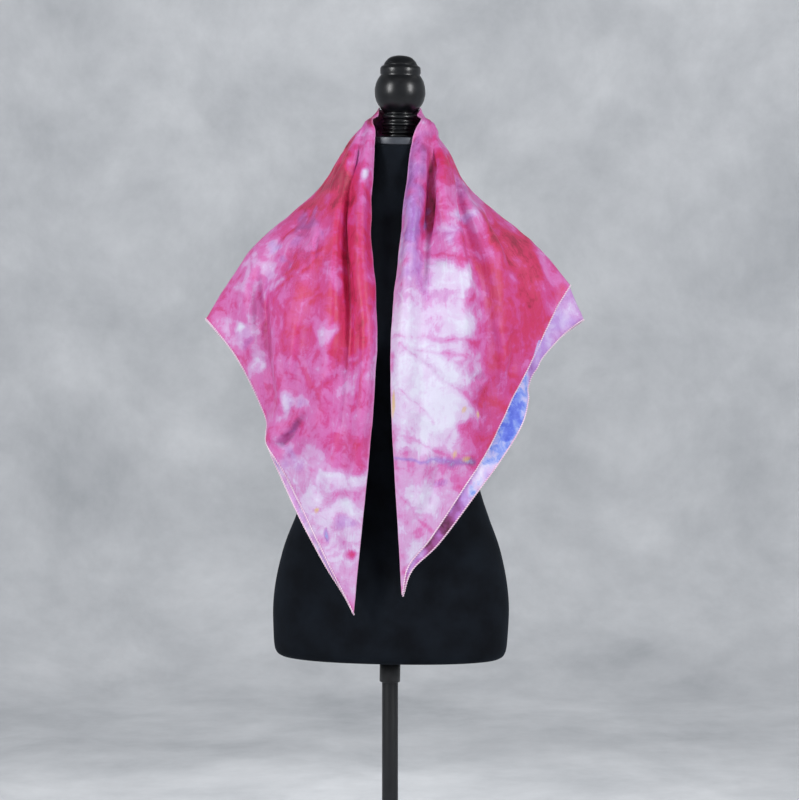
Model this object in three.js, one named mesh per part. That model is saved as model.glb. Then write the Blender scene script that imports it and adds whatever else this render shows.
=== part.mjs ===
// A silk square, folded cornerwise into two layers, hung on a dress form on a pole and a round foot.
// Millimetres, +Z up, the viewer in front at -Y, the origin under the middle of the foot on the floor.
import * as THREE from "three";

// Rows of a table as objects, under the names of its columns
function table(columns, rows) {
  return rows.map((row) => Object.fromEntries(row.map((value, i) => [columns[i], value])));
}

// Air between pieces that touch
const SEAT_GAP = 0.3;

// Foot, pole and sleeve
const FOOT_RADIUS = 172;
const FOOT_THICKNESS = 10;
const FOOT_ROUNDING = 3;
const FOOT_SIDES = 40;
const HUB_RADIUS = 26;
const HUB_FLANGE = 6;
const HUB_WALL = 8;
const HUB_HEIGHT = 36;
const POLE_RADIUS = 11.5;
const SLEEVE_RADIUS = 14.8;
const SLEEVE_HEIGHT = 38;
const SLEEVE_PLAY = 0.8;
const POLE_SIDES = 24;

// Torso: its underside, the socket for the pole, and how far it leans to the viewer's right
const TORSO_BOTTOM = 700;
const SOCKET_DEPTH = 30;
const SOCKET_PLAY = 1.4;
const SOCKET_AIR = 2;
const TORSO_LEAN_DEG = 1;
const LEAN_PIVOT = TORSO_BOTTOM - SLEEVE_HEIGHT / 2;
const TORSO_SIDES = 40;
const TORSO_SQUARENESS = 2.25;

// Neck plate and finial, which tip forward together
const NECK_TOP = 1432;
const NECK_TIP_DEG = 8;
const PLATE_RADIUS = 48;
const PLATE_THICKNESS = 10.8;
const PLATE_ROUNDING = 1.5;
const PLATE_SIDES = 32;
const STEM_RADIUS = 21.5;
const STEM_TOP = 34;
const BALL_RADIUS = 36.6;
const BALL_HEIGHT = 64;
const KNOB_SIDES = 20;

// Cloth: two layers of 1 mm, laid on each other with air between, clear of the form
const CLOTH_THICKNESS = 1;
const LAYER_AIR = 0.9;
const FORM_CLEARANCE = 2.5;
const CLEARANCE_SOFTNESS = 1;
const CLEARANCE_PASSES = 3;
const FORM_SLOPE_STEP = 6;
const RAY_SLOPE_STEP = 0.06;
const SHARE_SLOPE_STEP = 0.02;
const SEAT_HEIGHT = 1482;
const SEAT_RADIUS = 28.5;
const SEAT_FORWARD = 5;
const SEAT_WRAP_DEG = 200;
const CLOTH_ROWS = 16;
const PAST_ROWS = 1;
const FRONT_STEPS = 3;
const BACK_STEPS = 2;

// Beads turned on the finial's stem: height above its foot, half height and radius
const STEM_BEADS = table(["height", "half", "radius"], [
  [6.4, 2.8, 25.6],
  [12.2, 1.6, 23.8],
  [18.2, 3, 25],
  [28.7, 3.4, 25],
]);

// The cap on the finial's ball, as radius and height above its foot
const FINIAL_CAP = [
  [29, 90],
  [29.4, 95],
  [28.2, 99.4],
  [24, 101.5],
  [23.8, 103],
  [21.5, 107],
  [15.6, 112.6],
  [8, 114.8],
  [0, 115.4],
];

// Torso sections from the underside to the neck: half width, depth in front of and behind the middle,
// and how many degrees the section tips forward
const TORSO_SECTIONS = table(["height", "halfWidth", "front", "back", "tip"], [
  [700, 157, 90, 103, 0],
  [703, 162, 95, 108, 0],
  [712, 166, 98.5, 112, 0],
  [736, 168, 100, 115, 0],
  [769, 169, 100, 116, 0],
  [800, 166.5, 98, 114, 0],
  [830, 161, 95, 108, 0],
  [862, 152.5, 91, 98, 0],
  [900, 138, 87, 86, 0],
  [938, 125, 84, 78, 0],
  [973, 117, 85, 74, 0],
  [1010, 119, 93, 77, 0],
  [1060, 130, 109, 86, 0],
  [1110, 141, 121, 95, 0],
  [1155, 148, 124, 101, 0],
  [1200, 153, 113, 104, 0],
  [1236, 167, 98, 102, 0],
  [1262, 176, 87, 97, 0],
  [1282, 174, 79, 90, 1],
  [1302, 157, 73, 84, 2],
  [1324, 126, 66, 76, 4],
  [1347, 95, 60, 68, 5],
  [1369, 71, 55, 60, 6],
  [1390, 57, 51, 54, 7],
  [1410, 50.5, 48.5, 49.5, 8],
  [NECK_TOP, 48.5, 48, 48, NECK_TIP_DEG],
]);

// The cloth hangs in rays from its seat behind the finial. Each row is one ray. Its columns are the
// points where the ray crosses the collar, the shoulder, the chest and the hem of the outer layer, as
// x, y and the drop below the seat, and how far the under layer reaches past that hem, out and down.
// Rays run from the left fold edge round the back to the right fold edge.
const CLOTH_RAYS = table(["ray", "collar", "shoulder", "chest", "hem", "past"], [
  ["left fold edge", [-22, -44, 42], [-28, -88, 183], [-20, -134, 359], [-49, -124, 707], [1, 2]],
  ["left roll", [-30, -47, 43], [-41, -105, 178], [-34, -146, 351], [-63, -122, 677], [0, 4]],
  ["left trough", [-38, -39, 44], [-56, -73, 167], [-54, -123, 332], [-84, -117, 638], [-4, 4]],
  ["left panel ridge", [-46, -35, 46], [-72, -87, 158], [-79, -138, 315], [-115, -104, 574], [-7, 7]],
  ["left panel hollow", [-51, -27, 47], [-84, -64, 148], [-108, -110, 294], [-141, -84, 524], [-6, 7]],
  ["left hem kink", [-54, -18, 48], [-91, -54, 140], [-138, -92, 277], [-168, -76, 479], [-1, 1]],
  ["left valley", [-55, -8, 48], [-97, -34, 132], [-176, -40, 266], [-174, -38, 441], [-1, 1]],
  ["left wing", [-55, 0, 48], [-101, -14, 124], [-196, -26, 232], [-217, -22, 355], [-1, 1]],
  ["left shoulder", [-54, 9, 48], [-103, 5, 117], [-190, 10, 192], [-264, 12, 300], [-1, 1]],
  ["left back 1", [-51, 20, 46], [-94, 36, 114], [-178, 54, 214], [-212, 52, 366], [0, 4]],
  ["left back 2", [-46, 32, 44], [-76, 66, 120], [-142, 104, 262], [-178, 102, 440], [0, 6]],
  ["left back 3", [-37, 38, 43], [-52, 76, 127], [-100, 106, 294], [-146, 100, 530], [0, 6]],
  ["left back 4", [-22, 50, 42], [-24, 96, 132], [-50, 128, 318], [-92, 136, 640], [0, 6]],
  ["centre back", [8, 50, 41], [10, 90, 134], [4, 118, 330], [-4, 128, 768], [0, 6]],
  ["right back 4", [36, 50, 42], [42, 96, 132], [58, 129, 318], [86, 138, 634], [0, 6]],
  ["right back 3", [52, 38, 43], [68, 76, 127], [108, 104, 290], [144, 100, 520], [0, 8]],
  ["right back 2", [61, 32, 44], [90, 66, 120], [154, 102, 256], [184, 100, 430], [2, 12]],
  ["right back 1", [68, 20, 46], [106, 36, 116], [187, 52, 206], [206, 50, 334], [8, 24]],
  ["right shoulder", [71, 9, 47], [115, 5, 116], [201, 10, 188], [257, 12, 254], [20, 48]],
  ["right wing", [71, -1, 48], [115, -14, 122], [200, -24, 212], [234, -12, 290], [10, 36]],
  ["right valley", [69, -9, 48], [112, -34, 128], [178, -52, 232], [204, -34, 350], [1, 24]],
  ["right side ridge", [68, -18, 48], [106, -56, 132], [152, -86, 248], [167, -66, 420], [20, 24]],
  ["right hollow", [66, -27, 47], [90, -62, 138], [124, -94, 262], [137, -82, 482], [18, 16]],
  ["right panel ridge", [62, -35, 46], [77, -89, 146], [99, -130, 280], [106, -102, 529], [13, 16]],
  ["right trough", [53, -39, 44], [50, -72, 166], [50, -128, 336], [58, -114, 602], [10, 10]],
  ["right roll", [43, -47, 43], [32, -104, 180], [20, -146, 350], [25, -121, 643], [6, 5]],
  ["right fold edge", [33, -44, 41], [17, -88, 189], [3, -136, 359], [16, -124, 681], [2, 3]],
]);

// Share of each ray's length at the seat, collar, shoulder, chest and hem
const STATIONS = [0, 0.09, 0.3, 0.55, 1];
const FIRST_BACK_RAY = 8;
const CENTRE_BACK_RAY = 13;
const LAST_BACK_RAY = 18;

const radians = THREE.MathUtils.degToRad;

// Colours and surfaces
function surface(name, color, roughness, metalness) {
  return new THREE.MeshStandardMaterial({ name, color, roughness, metalness });
}
const blackVelvet = surface("black velvet jersey", 0x14171d, 0.95, 0);
const greyEnamel = surface("grey enamel", 0x4a4e55, 0.45, 0.1);
const blackLacquer = surface("black lacquer", 0x15171c, 0.3, 0);
const blackPaint = surface("black painted steel", 0x0f1013, 0.5, 0.2);
const dyedSilk = surface("dyed silk", 0xd65a9e, 0.5, 0);
dyedSilk.side = THREE.DoubleSide;

// A value on a smooth curve through knots of any spacing, which may turn sharply at one of them
function curveThrough(knots, values, at, corner = -1) {
  let k = 0;
  while (k < knots.length - 2 && at > knots[k + 1]) {
    k += 1;
  }
  const slope = (i) => {
    const before = i === corner && i === k ? i : Math.max(i - 1, 0);
    const after = i === corner && i === k + 1 ? i : Math.min(i + 1, knots.length - 1);
    return (values[after] - values[before]) / (knots[after] - knots[before]);
  };
  const span = knots[k + 1] - knots[k];
  const s = (at - knots[k]) / span;
  const rise = s * s * (3 - 2 * s);
  const lead = s * (1 - s) * (1 - s) * span;
  const trail = -s * s * (1 - s) * span;
  return values[k] + rise * (values[k + 1] - values[k]) + lead * slope(k) + trail * slope(k + 1);
}

// A closed solid through rings of equal length, shut at each end by a fan round the ring's middle
function loft(rings) {
  const sides = rings[0].length;
  const positions = [];
  const indices = [];
  rings.forEach((ring) => ring.forEach((p) => positions.push(p.x, p.y, p.z)));
  for (let r = 0; r + 1 < rings.length; r += 1) {
    for (let i = 0; i < sides; i += 1) {
      const a = r * sides + i;
      const b = r * sides + ((i + 1) % sides);
      indices.push(a, b, b + sides, a, b + sides, a + sides);
    }
  }
  [0, rings.length - 1].forEach((r) => {
    const middle = rings[r].reduce((sum, p) => sum.add(p), new THREE.Vector3()).divideScalar(sides);
    const hub = positions.length / 3;
    positions.push(middle.x, middle.y, middle.z);
    for (let i = 0; i < sides; i += 1) {
      const a = r * sides + i;
      const b = r * sides + ((i + 1) % sides);
      indices.push(...(r === 0 ? [hub, b, a] : [hub, a, b]));
    }
  });
  const geometry = new THREE.BufferGeometry();
  geometry.setAttribute("position", new THREE.Float32BufferAttribute(positions, 3));
  geometry.setIndex(indices);
  geometry.computeVertexNormals();
  return geometry;
}

// A solid of revolution about Z from radius and height pairs
function turned(profile, sides) {
  const points = profile.map(([radius, height]) => new THREE.Vector2(radius, height));
  return new THREE.LatheGeometry(points, sides).rotateX(Math.PI / 2);
}

// Points of a quarter or half round, for turned profiles
function arc(radius, height, round, fromDeg, toDeg, pieces) {
  return Array.from({ length: pieces + 1 }, (_, i) => {
    const angle = radians(fromDeg + ((toDeg - fromDeg) * i) / pieces);
    return [radius + round * Math.cos(angle), height + round * Math.sin(angle)];
  });
}

function named(name, geometry, material) {
  const mesh = new THREE.Mesh(geometry, material);
  mesh.name = name;
  return mesh;
}

// Foot and hub
function footPlate() {
  const rim = FOOT_RADIUS - FOOT_ROUNDING;
  const profile = [
    [0, 0],
    [rim, 0],
    ...arc(rim, FOOT_THICKNESS - FOOT_ROUNDING, FOOT_ROUNDING, 0, 90, 4),
    [0, FOOT_THICKNESS],
  ];
  return named("base_plate", turned(profile, FOOT_SIDES), blackPaint);
}

function hubRing() {
  const bore = POLE_RADIUS + SEAT_GAP;
  const foot = FOOT_THICKNESS + SEAT_GAP;
  const top = foot + HUB_HEIGHT;
  const wall = POLE_RADIUS + HUB_WALL;
  const profile = [
    [bore, foot],
    [HUB_RADIUS, foot],
    [HUB_RADIUS, foot + HUB_FLANGE],
    [wall, foot + 2 * HUB_FLANGE],
    ...arc(wall - HUB_WALL / 4, top - HUB_WALL / 4, HUB_WALL / 4, 0, 90, 3),
    [bore, top],
    [bore, foot],
  ];
  return named("base_hub", turned(profile, PLATE_SIDES), blackPaint);
}

function uprightPole() {
  const foot = FOOT_THICKNESS + SEAT_GAP;
  const top = TORSO_BOTTOM + SOCKET_DEPTH - SOCKET_AIR;
  const profile = [
    [0, foot],
    [POLE_RADIUS, foot],
    [POLE_RADIUS, top],
    [0, top],
  ];
  return named("pole", turned(profile, POLE_SIDES), blackPaint);
}

function poleSleeve() {
  const bore = POLE_RADIUS + SLEEVE_PLAY;
  const top = TORSO_BOTTOM - SEAT_GAP;
  const foot = TORSO_BOTTOM - SLEEVE_HEIGHT;
  const profile = [
    [bore, foot],
    [SLEEVE_RADIUS, foot],
    [SLEEVE_RADIUS, top],
    [bore, top],
    [bore, foot],
  ];
  return named("sleeve", turned(profile, POLE_SIDES), blackPaint);
}

// One ring of the torso, tipped forward about its own middle
function torsoRing(section) {
  const power = 2 / TORSO_SQUARENESS;
  const tip = radians(section.tip);
  return Array.from({ length: TORSO_SIDES }, (_, i) => {
    const angle = (2 * Math.PI * i) / TORSO_SIDES;
    const across = Math.sign(Math.cos(angle)) * Math.abs(Math.cos(angle)) ** power;
    const along = Math.sign(Math.sin(angle)) * Math.abs(Math.sin(angle)) ** power;
    const depth = along * (along < 0 ? section.front : section.back);
    return new THREE.Vector3(
      across * section.halfWidth,
      depth * Math.cos(tip),
      section.height + depth * Math.sin(tip),
    );
  });
}

function circleRing(radius, height) {
  return Array.from({ length: TORSO_SIDES }, (_, i) => {
    const angle = (2 * Math.PI * i) / TORSO_SIDES;
    return new THREE.Vector3(radius * Math.cos(angle), radius * Math.sin(angle), height);
  });
}

function torsoBody() {
  const socket = POLE_RADIUS + SOCKET_PLAY;
  const rings = [
    circleRing(socket, TORSO_BOTTOM + SOCKET_DEPTH),
    circleRing(socket, TORSO_BOTTOM),
    ...TORSO_SECTIONS.map(torsoRing),
  ];
  return named("torso", loft(rings), blackVelvet);
}

// Neck plate and finial, built upright from the neck's top
function neckPlate() {
  const rim = PLATE_RADIUS - PLATE_ROUNDING;
  const profile = [
    [0, SEAT_GAP],
    ...arc(rim, SEAT_GAP + PLATE_ROUNDING, PLATE_ROUNDING, -90, 0, 3),
    ...arc(rim, PLATE_THICKNESS - PLATE_ROUNDING, PLATE_ROUNDING, 0, 90, 3),
    [0, PLATE_THICKNESS],
  ];
  return named("neck_plate", turned(profile, PLATE_SIDES), greyEnamel);
}

function turnedFinial() {
  const foot = PLATE_THICKNESS + SEAT_GAP;
  const collar = STEM_BEADS[0].radius;
  const beads = STEM_BEADS.flatMap(({ height, half, radius }) => [
    [STEM_RADIUS, foot + height - half],
    ...arc(radius - half / 2, foot + height, half / 2, -60, 60, 2),
    [STEM_RADIUS, foot + height + half],
  ]);
  const profile = [
    [0, foot],
    [collar, foot],
    [collar, foot + STEM_BEADS[0].half],
    ...beads,
    [STEM_RADIUS, foot + STEM_TOP],
    ...arc(0, foot + BALL_HEIGHT, BALL_RADIUS, -54, 42, 14),
    ...FINIAL_CAP.map(([radius, height]) => [radius, foot + height]),
  ];
  return named("finial", turned(profile, KNOB_SIDES), blackLacquer);
}

// The form's section at a height between the rows
function sectionAt(height) {
  const rows = TORSO_SECTIONS;
  const last = rows.length - 1;
  if (height >= rows[last].height) {
    return rows[last];
  }
  const heights = rows.map((row) => row.height);
  const between = (column) => curveThrough(heights, rows.map((row) => row[column]), height);
  return {
    halfWidth: between("halfWidth"),
    front: between("front"),
    back: between("back"),
    tip: between("tip"),
  };
}

// How far outside the form a point lies, as a share of the section at its height: 0 on the surface
function outsideForm(point) {
  const lean = (point.z - LEAN_PIVOT) * Math.tan(radians(TORSO_LEAN_DEG));
  const tip = radians(sectionAt(point.z).tip);
  const section = sectionAt(point.z - point.y * Math.sin(tip));
  const across = Math.abs(point.x - lean) / section.halfWidth;
  const along = Math.abs(point.y) / (point.y < 0 ? section.front : section.back);
  return (across ** TORSO_SQUARENESS + along ** TORSO_SQUARENESS) ** (1 / TORSO_SQUARENESS) - 1;
}

// Lifts a point of the cloth off the form's surface where it would lie in it or too near it
function restOnForm(start) {
  const point = start.clone();
  for (let pass = 0; pass < CLEARANCE_PASSES; pass += 1) {
    const here = outsideForm(point);
    const slope = new THREE.Vector3();
    ["x", "y", "z"].forEach((axis) => {
      const ahead = point.clone();
      const behind = point.clone();
      ahead[axis] += FORM_SLOPE_STEP;
      behind[axis] -= FORM_SLOPE_STEP;
      slope[axis] = (outsideForm(ahead) - outsideForm(behind)) / (2 * FORM_SLOPE_STEP);
    });
    const steepness = slope.length();
    const lack = FORM_CLEARANCE - here / steepness;
    const lift = (lack + Math.hypot(lack, CLEARANCE_SOFTNESS)) / 2;
    point.addScaledVector(slope, lift / steepness);
  }
  return point;
}

// The five points of a ray at any place between two rays
const rayNumbers = CLOTH_RAYS.map((_, i) => i);
const seatPoints = CLOTH_RAYS.map((_, i) => {
  const turn = radians(90 + SEAT_WRAP_DEG * (0.5 - i / (CLOTH_RAYS.length - 1)));
  const x = (SEAT_HEIGHT - LEAN_PIVOT) * Math.tan(radians(TORSO_LEAN_DEG)) + SEAT_RADIUS * Math.cos(turn);
  return [x, SEAT_RADIUS * Math.sin(turn) - SEAT_FORWARD, 0];
});
const stationPoints = [
  seatPoints,
  CLOTH_RAYS.map((row) => row.collar),
  CLOTH_RAYS.map((row) => row.shoulder),
  CLOTH_RAYS.map((row) => row.chest),
  CLOTH_RAYS.map((row) => row.hem),
];

function stationsAt(place) {
  return stationPoints.map((points, station) => {
    const corner = station === stationPoints.length - 1 ? CENTRE_BACK_RAY : -1;
    return [0, 1, 2].map((axis) => curveThrough(rayNumbers, points.map((p) => p[axis]), place, corner));
  });
}

// The cloth's inner face at a place between rays and a share of the way from seat to hem.
// A share over 1 runs past the outer layer's hem to the under layer's own.
function clothPoint(place, share) {
  const stations = stationsAt(place);
  const along = Math.min(share, 1);
  const [x, y, drop] = [0, 1, 2].map((axis) =>
    curveThrough(STATIONS, stations.map((p) => p[axis]), along),
  );
  const beyond = Math.max(share - 1, 0);
  const [out, down] = [0, 1].map((axis) =>
    curveThrough(rayNumbers, CLOTH_RAYS.map((row) => row.past[axis]), place),
  );
  const point = new THREE.Vector3(x + beyond * out, y, SEAT_HEIGHT - drop - beyond * down);
  return share < STATIONS[1] / 2 ? point : restOnForm(point);
}

// The outward direction of the cloth, from the slope on each side of a point
function clothNormal(place, share) {
  const sideways = clothPoint(Math.min(place + RAY_SLOPE_STEP, CLOTH_RAYS.length - 1), share);
  sideways.sub(clothPoint(Math.max(place - RAY_SLOPE_STEP, 0), share));
  const lower = Math.min(Math.max(share, SHARE_SLOPE_STEP), 1);
  const down = clothPoint(place, lower).sub(clothPoint(place, lower - SHARE_SLOPE_STEP));
  return sideways.cross(down).normalize();
}

function clothPlaces() {
  const places = [0];
  for (let i = 0; i + 1 < CLOTH_RAYS.length; i += 1) {
    const isBack = i >= FIRST_BACK_RAY && i < LAST_BACK_RAY;
    const steps = isBack ? BACK_STEPS : FRONT_STEPS;
    for (let s = 1; s <= steps; s += 1) {
      places.push(i + s / steps);
    }
  }
  return places;
}

// A wall between two offsets from the cloth's inner face, closed all round its edge
function clothWall(inner, outer, pastRows) {
  const places = clothPlaces();
  const shares = Array.from({ length: CLOTH_ROWS + 1 }, (_, i) => i / CLOTH_ROWS);
  for (let i = 1; i <= pastRows; i += 1) {
    shares.push(1 + i / pastRows);
  }
  const wide = places.length;
  const tall = shares.length;
  const positions = [];
  [inner, outer].forEach((offset) => {
    shares.forEach((share) => {
      places.forEach((place) => {
        const point = clothPoint(place, share).addScaledVector(clothNormal(place, share), offset);
        positions.push(point.x, point.y, point.z);
      });
    });
  });
  const face = wide * tall;
  const indices = [];
  const quad = (a, b, c, d) => indices.push(a, b, c, a, c, d);
  for (let r = 0; r + 1 < tall; r += 1) {
    for (let c = 0; c + 1 < wide; c += 1) {
      const a = r * wide + c;
      quad(a, a + wide, a + wide + 1, a + 1);
      quad(face + a, face + a + 1, face + a + wide + 1, face + a + wide);
    }
  }
  for (let c = 0; c + 1 < wide; c += 1) {
    const last = (tall - 1) * wide + c;
    quad(c, c + 1, face + c + 1, face + c);
    quad(last, face + last, face + last + 1, last + 1);
  }
  for (let r = 0; r + 1 < tall; r += 1) {
    const a = r * wide;
    const z = a + wide - 1;
    quad(a, face + a, face + a + wide, a + wide);
    quad(z, z + wide, face + z + wide, face + z);
  }
  const geometry = new THREE.BufferGeometry();
  geometry.setAttribute("position", new THREE.Float32BufferAttribute(positions, 3));
  geometry.setIndex(indices);
  geometry.computeVertexNormals();
  return geometry;
}

function scarfLayers() {
  const outerFoot = CLOTH_THICKNESS + LAYER_AIR;
  return [
    named("scarf_under_layer", clothWall(0, CLOTH_THICKNESS, PAST_ROWS), dyedSilk),
    named("scarf_outer_layer", clothWall(outerFoot, outerFoot + CLOTH_THICKNESS, 0), dyedSilk),
  ];
}

// The neck group tips forward, and the whole form leans on its sleeve
const neckGroup = new THREE.Group();
neckGroup.position.z = NECK_TOP - LEAN_PIVOT;
neckGroup.rotation.x = radians(NECK_TIP_DEG);
neckGroup.add(neckPlate(), turnedFinial());

const uprightForm = new THREE.Group();
uprightForm.position.z = -LEAN_PIVOT;
uprightForm.add(torsoBody(), poleSleeve());

const leaningForm = new THREE.Group();
leaningForm.position.z = LEAN_PIVOT;
leaningForm.rotation.y = radians(TORSO_LEAN_DEG);
leaningForm.add(uprightForm, neckGroup);

const scarfOnForm = new THREE.Group();
scarfOnForm.add(footPlate(), hubRing(), uprightPole(), leaningForm, ...scarfLayers());

export default scarfOnForm;
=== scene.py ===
# %% [markdown]
# A hand-dyed silk square hangs on a dress form. The square is folded on its diagonal, the fold goes
# behind the turned finial, and the two long points hang down the front.
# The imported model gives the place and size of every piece. This lesson puts a finer skin on each one,
# then sews, dyes and lights it. All sizes below are in millimetres until a mesh is made.

# %% Load the frame
import math

import bmesh
import bpy
import numpy as np
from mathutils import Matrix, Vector, noise


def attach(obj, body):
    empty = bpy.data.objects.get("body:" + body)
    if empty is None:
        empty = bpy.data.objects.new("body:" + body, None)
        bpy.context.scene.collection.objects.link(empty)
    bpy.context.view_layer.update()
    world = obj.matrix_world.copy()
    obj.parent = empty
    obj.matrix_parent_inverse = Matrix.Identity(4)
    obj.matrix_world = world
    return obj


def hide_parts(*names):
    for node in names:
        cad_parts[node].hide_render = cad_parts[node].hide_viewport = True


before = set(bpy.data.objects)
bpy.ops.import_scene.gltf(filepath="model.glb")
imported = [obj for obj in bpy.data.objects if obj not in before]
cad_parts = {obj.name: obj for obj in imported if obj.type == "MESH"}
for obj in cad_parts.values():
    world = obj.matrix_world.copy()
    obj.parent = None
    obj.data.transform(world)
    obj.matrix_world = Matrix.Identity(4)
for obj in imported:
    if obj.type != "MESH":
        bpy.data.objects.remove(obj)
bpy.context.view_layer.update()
MM = 0.001


# %% [markdown]
# Colours are written as sRGB hex, as a colour picker shows them. Blender's shaders work in linear light,
# so one function turns each hex value to linear. A second function adds any shader node, sets its inputs
# and joins its links, which keeps each material below as short as its recipe. A colour ramp's stops are
# given with its settings, as places with a colour or with a grey from 0 to 1.

# %% Colour and shader helpers
def linear(hex_color):
    """An sRGB hex colour as linear red, green, blue and alpha."""
    values = [int(hex_color[i:i + 2], 16) / 255 for i in (1, 3, 5)]
    return tuple(v / 12.92 if v <= 0.04045 else ((v + 0.055) / 1.055) ** 2.4 for v in values) + (1.0,)


def lay_stops(elements, stops):
    """Sets the stops of a colour ramp, first to last."""
    while len(elements) < len(stops):
        elements.new(0.5)
    for element, (place, color) in zip(elements, stops):
        element.position = place
        element.color = linear(color) if isinstance(color, str) else (color, color, color, 1)


def add_node(tree, kind, settings=None, **inputs):
    """A new shader node. An input is a value or a socket to link, named with _ for each space."""
    node = tree.nodes.new("ShaderNode" + kind)
    for name, value in (settings or {}).items():
        if name == "stops":
            lay_stops(node.color_ramp.elements, value)
        else:
            setattr(node, name, value)
    for name, value in inputs.items():
        key = int(name[3:]) if name.startswith("in_") else name.replace("_", " ")
        if isinstance(value, bpy.types.NodeSocket):
            tree.links.new(value, node.inputs[key])
        elif value is not None:
            node.inputs[key].default_value = value
    return node


def new_material(name):
    """An empty material, its node tree and its Principled BSDF."""
    material = bpy.data.materials.new(name)
    material.use_nodes = True
    tree = material.node_tree
    return material, tree, tree.nodes["Principled BSDF"]


def set_inputs(node, **inputs):
    """Sets a node's inputs by name, with _ for each space."""
    for name, value in inputs.items():
        node.inputs[name.replace("_", " ")].default_value = value


def raise_bumps(tree, shader, rows):
    """Lays bumps one over another. A row is a height field, its height in millimetres and its strength."""
    normal = None
    for field, height_mm, strength in rows:
        bump = add_node(tree, "Bump", Height=field, Distance=height_mm * MM, Strength=strength,
                        Normal=normal)
        normal = bump.outputs["Normal"]
    tree.links.new(normal, shader.inputs["Normal"])


# %% [markdown]
# Everything here hangs from a few tables of sections. A smooth curve through the rows of a table gives
# the shape between them. This is the same cubic that the solid model uses, so the fine skins lie on it.

# %% A smooth curve through the rows of a table
def curve_through(knots, values, at, corner=None):
    """Rows of values on a smooth curve through knots, which may turn sharply at one knot."""
    knots = np.asarray(knots, float)
    values = np.asarray(values, float).reshape(len(knots), -1)
    at = np.asarray(at, float).ravel()
    k = np.clip(np.searchsorted(knots, at) - 1, 0, len(knots) - 2)
    steps = np.diff(values, axis=0) / np.diff(knots)[:, None]
    slope = np.empty_like(values)
    slope[0] = steps[0]
    slope[-1] = steps[-1]
    slope[1:-1] = (values[2:] - values[:-2]) / (knots[2:] - knots[:-2])[:, None]
    lead = slope[k]
    trail = slope[k + 1]
    if corner is not None:
        lead = np.where((k == corner)[:, None], steps[k], lead)
        trail = np.where((k + 1 == corner)[:, None], steps[k], trail)
    span = (knots[k + 1] - knots[k])[:, None]
    s = ((at - knots[k]) / span[:, 0])[:, None]
    rise = s * s * (3 - 2 * s)
    start = values[k] + rise * (values[k + 1] - values[k])
    return start + s * (1 - s) ** 2 * span * lead - s * s * (1 - s) * span * trail


def unit(vectors):
    """The same directions with a length of 1."""
    return vectors / np.maximum(np.linalg.norm(vectors, axis=-1, keepdims=True), 1e-9)


def lengths_along(line):
    """How far each point of a line lies from its start, along the line."""
    return np.concatenate([[0], np.cumsum(np.linalg.norm(np.diff(line, axis=0), axis=1))])


def smooth_step(low, high, value):
    """0 below low, 1 above high, and a soft rise between."""
    share = np.clip((value - low) / (high - low), 0, 1)
    return share * share * (3 - 2 * share)


# %% Meshes from grids of points
def mesh_object(name, points, faces):
    """A smooth-shaded object from points in millimetres and lists of their numbers."""
    mesh = bpy.data.meshes.new(name)
    mesh.from_pydata((points * MM).tolist(), [], faces)
    mesh.shade_smooth()
    piece = bpy.data.objects.new(name, mesh)
    bpy.context.scene.collection.objects.link(piece)
    return piece


def ring_quads(index):
    """Faces between the rows of a grid of point numbers, where each row closes on itself."""
    near = np.roll(index, -1, axis=1)
    return np.stack([index[:-1], near[:-1], near[1:], index[1:]], -1).reshape(-1, 4).tolist()


def closed_shell(name, front, back):
    """A thin closed body between two grids of points, in millimetres, walled all round its edge."""
    rows, columns = front.shape[:2]
    count = rows * columns
    index = np.arange(count).reshape(rows, columns)
    a, b, c, d = index[:-1, :-1], index[:-1, 1:], index[1:, 1:], index[1:, :-1]
    faces = [np.stack([a, d, c, b], -1), np.stack([a, b, c, d], -1) + count]
    rim = np.concatenate([index[0], index[1:, -1], index[-1, -2::-1], index[-2:0:-1, 0]])
    after = np.roll(rim, -1)
    faces.append(np.stack([rim, after, after + count, rim + count], -1))
    quads = np.concatenate([f.reshape(-1, 4) for f in faces])
    points = np.concatenate([front.reshape(-1, 3), back.reshape(-1, 3)])
    return mesh_object(name, points, quads.tolist())


def cord_tube(name, line, radius, sides):
    """A closed round tube of one radius along a line of points."""
    ahead = np.gradient(line, axis=0)
    ahead /= np.linalg.norm(ahead, axis=1)[:, None]
    side = np.empty_like(ahead)
    side[0] = np.cross(ahead[0], (0, 0, 1) if abs(ahead[0][2]) < 0.9 else (1, 0, 0))
    for i in range(1, len(line)):
        side[i] = side[i - 1] - ahead[i] * (side[i - 1] @ ahead[i])
        side[i] /= np.linalg.norm(side[i])
    side[0] /= np.linalg.norm(side[0])
    other = np.cross(ahead, side)
    turn = np.arange(sides) * 2 * math.pi / sides
    ring = np.cos(turn)[None, :, None] * side[:, None] + np.sin(turn)[None, :, None] * other[:, None]
    points = (line[:, None] + radius * ring).reshape(-1, 3)
    index = np.arange(len(points)).reshape(len(line), sides)
    return mesh_object(name, points, ring_quads(index) + [index[0][::-1].tolist(), index[-1].tolist()])


def finish_piece(piece, material, slot, *nodes):
    """Gives a piece its material and body, and the solids that it stands for."""
    piece.data.materials.clear()
    piece.data.materials.append(material)
    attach(piece, "root")
    if nodes:
        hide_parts(*nodes)
    triangles = sum(len(p.vertices) - 2 for p in piece.data.polygons)
    print(f"{piece.name}: {triangles} triangles")


# %% [markdown]
# The form is a limbless torso in a tight jersey cover. Its table gives a section at each height: the half
# width, the depth in front of and behind the middle, and how far the section tips forward at the neck.
# Each section is a superellipse, a little squarer than an ellipse, as a padded form is.

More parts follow.
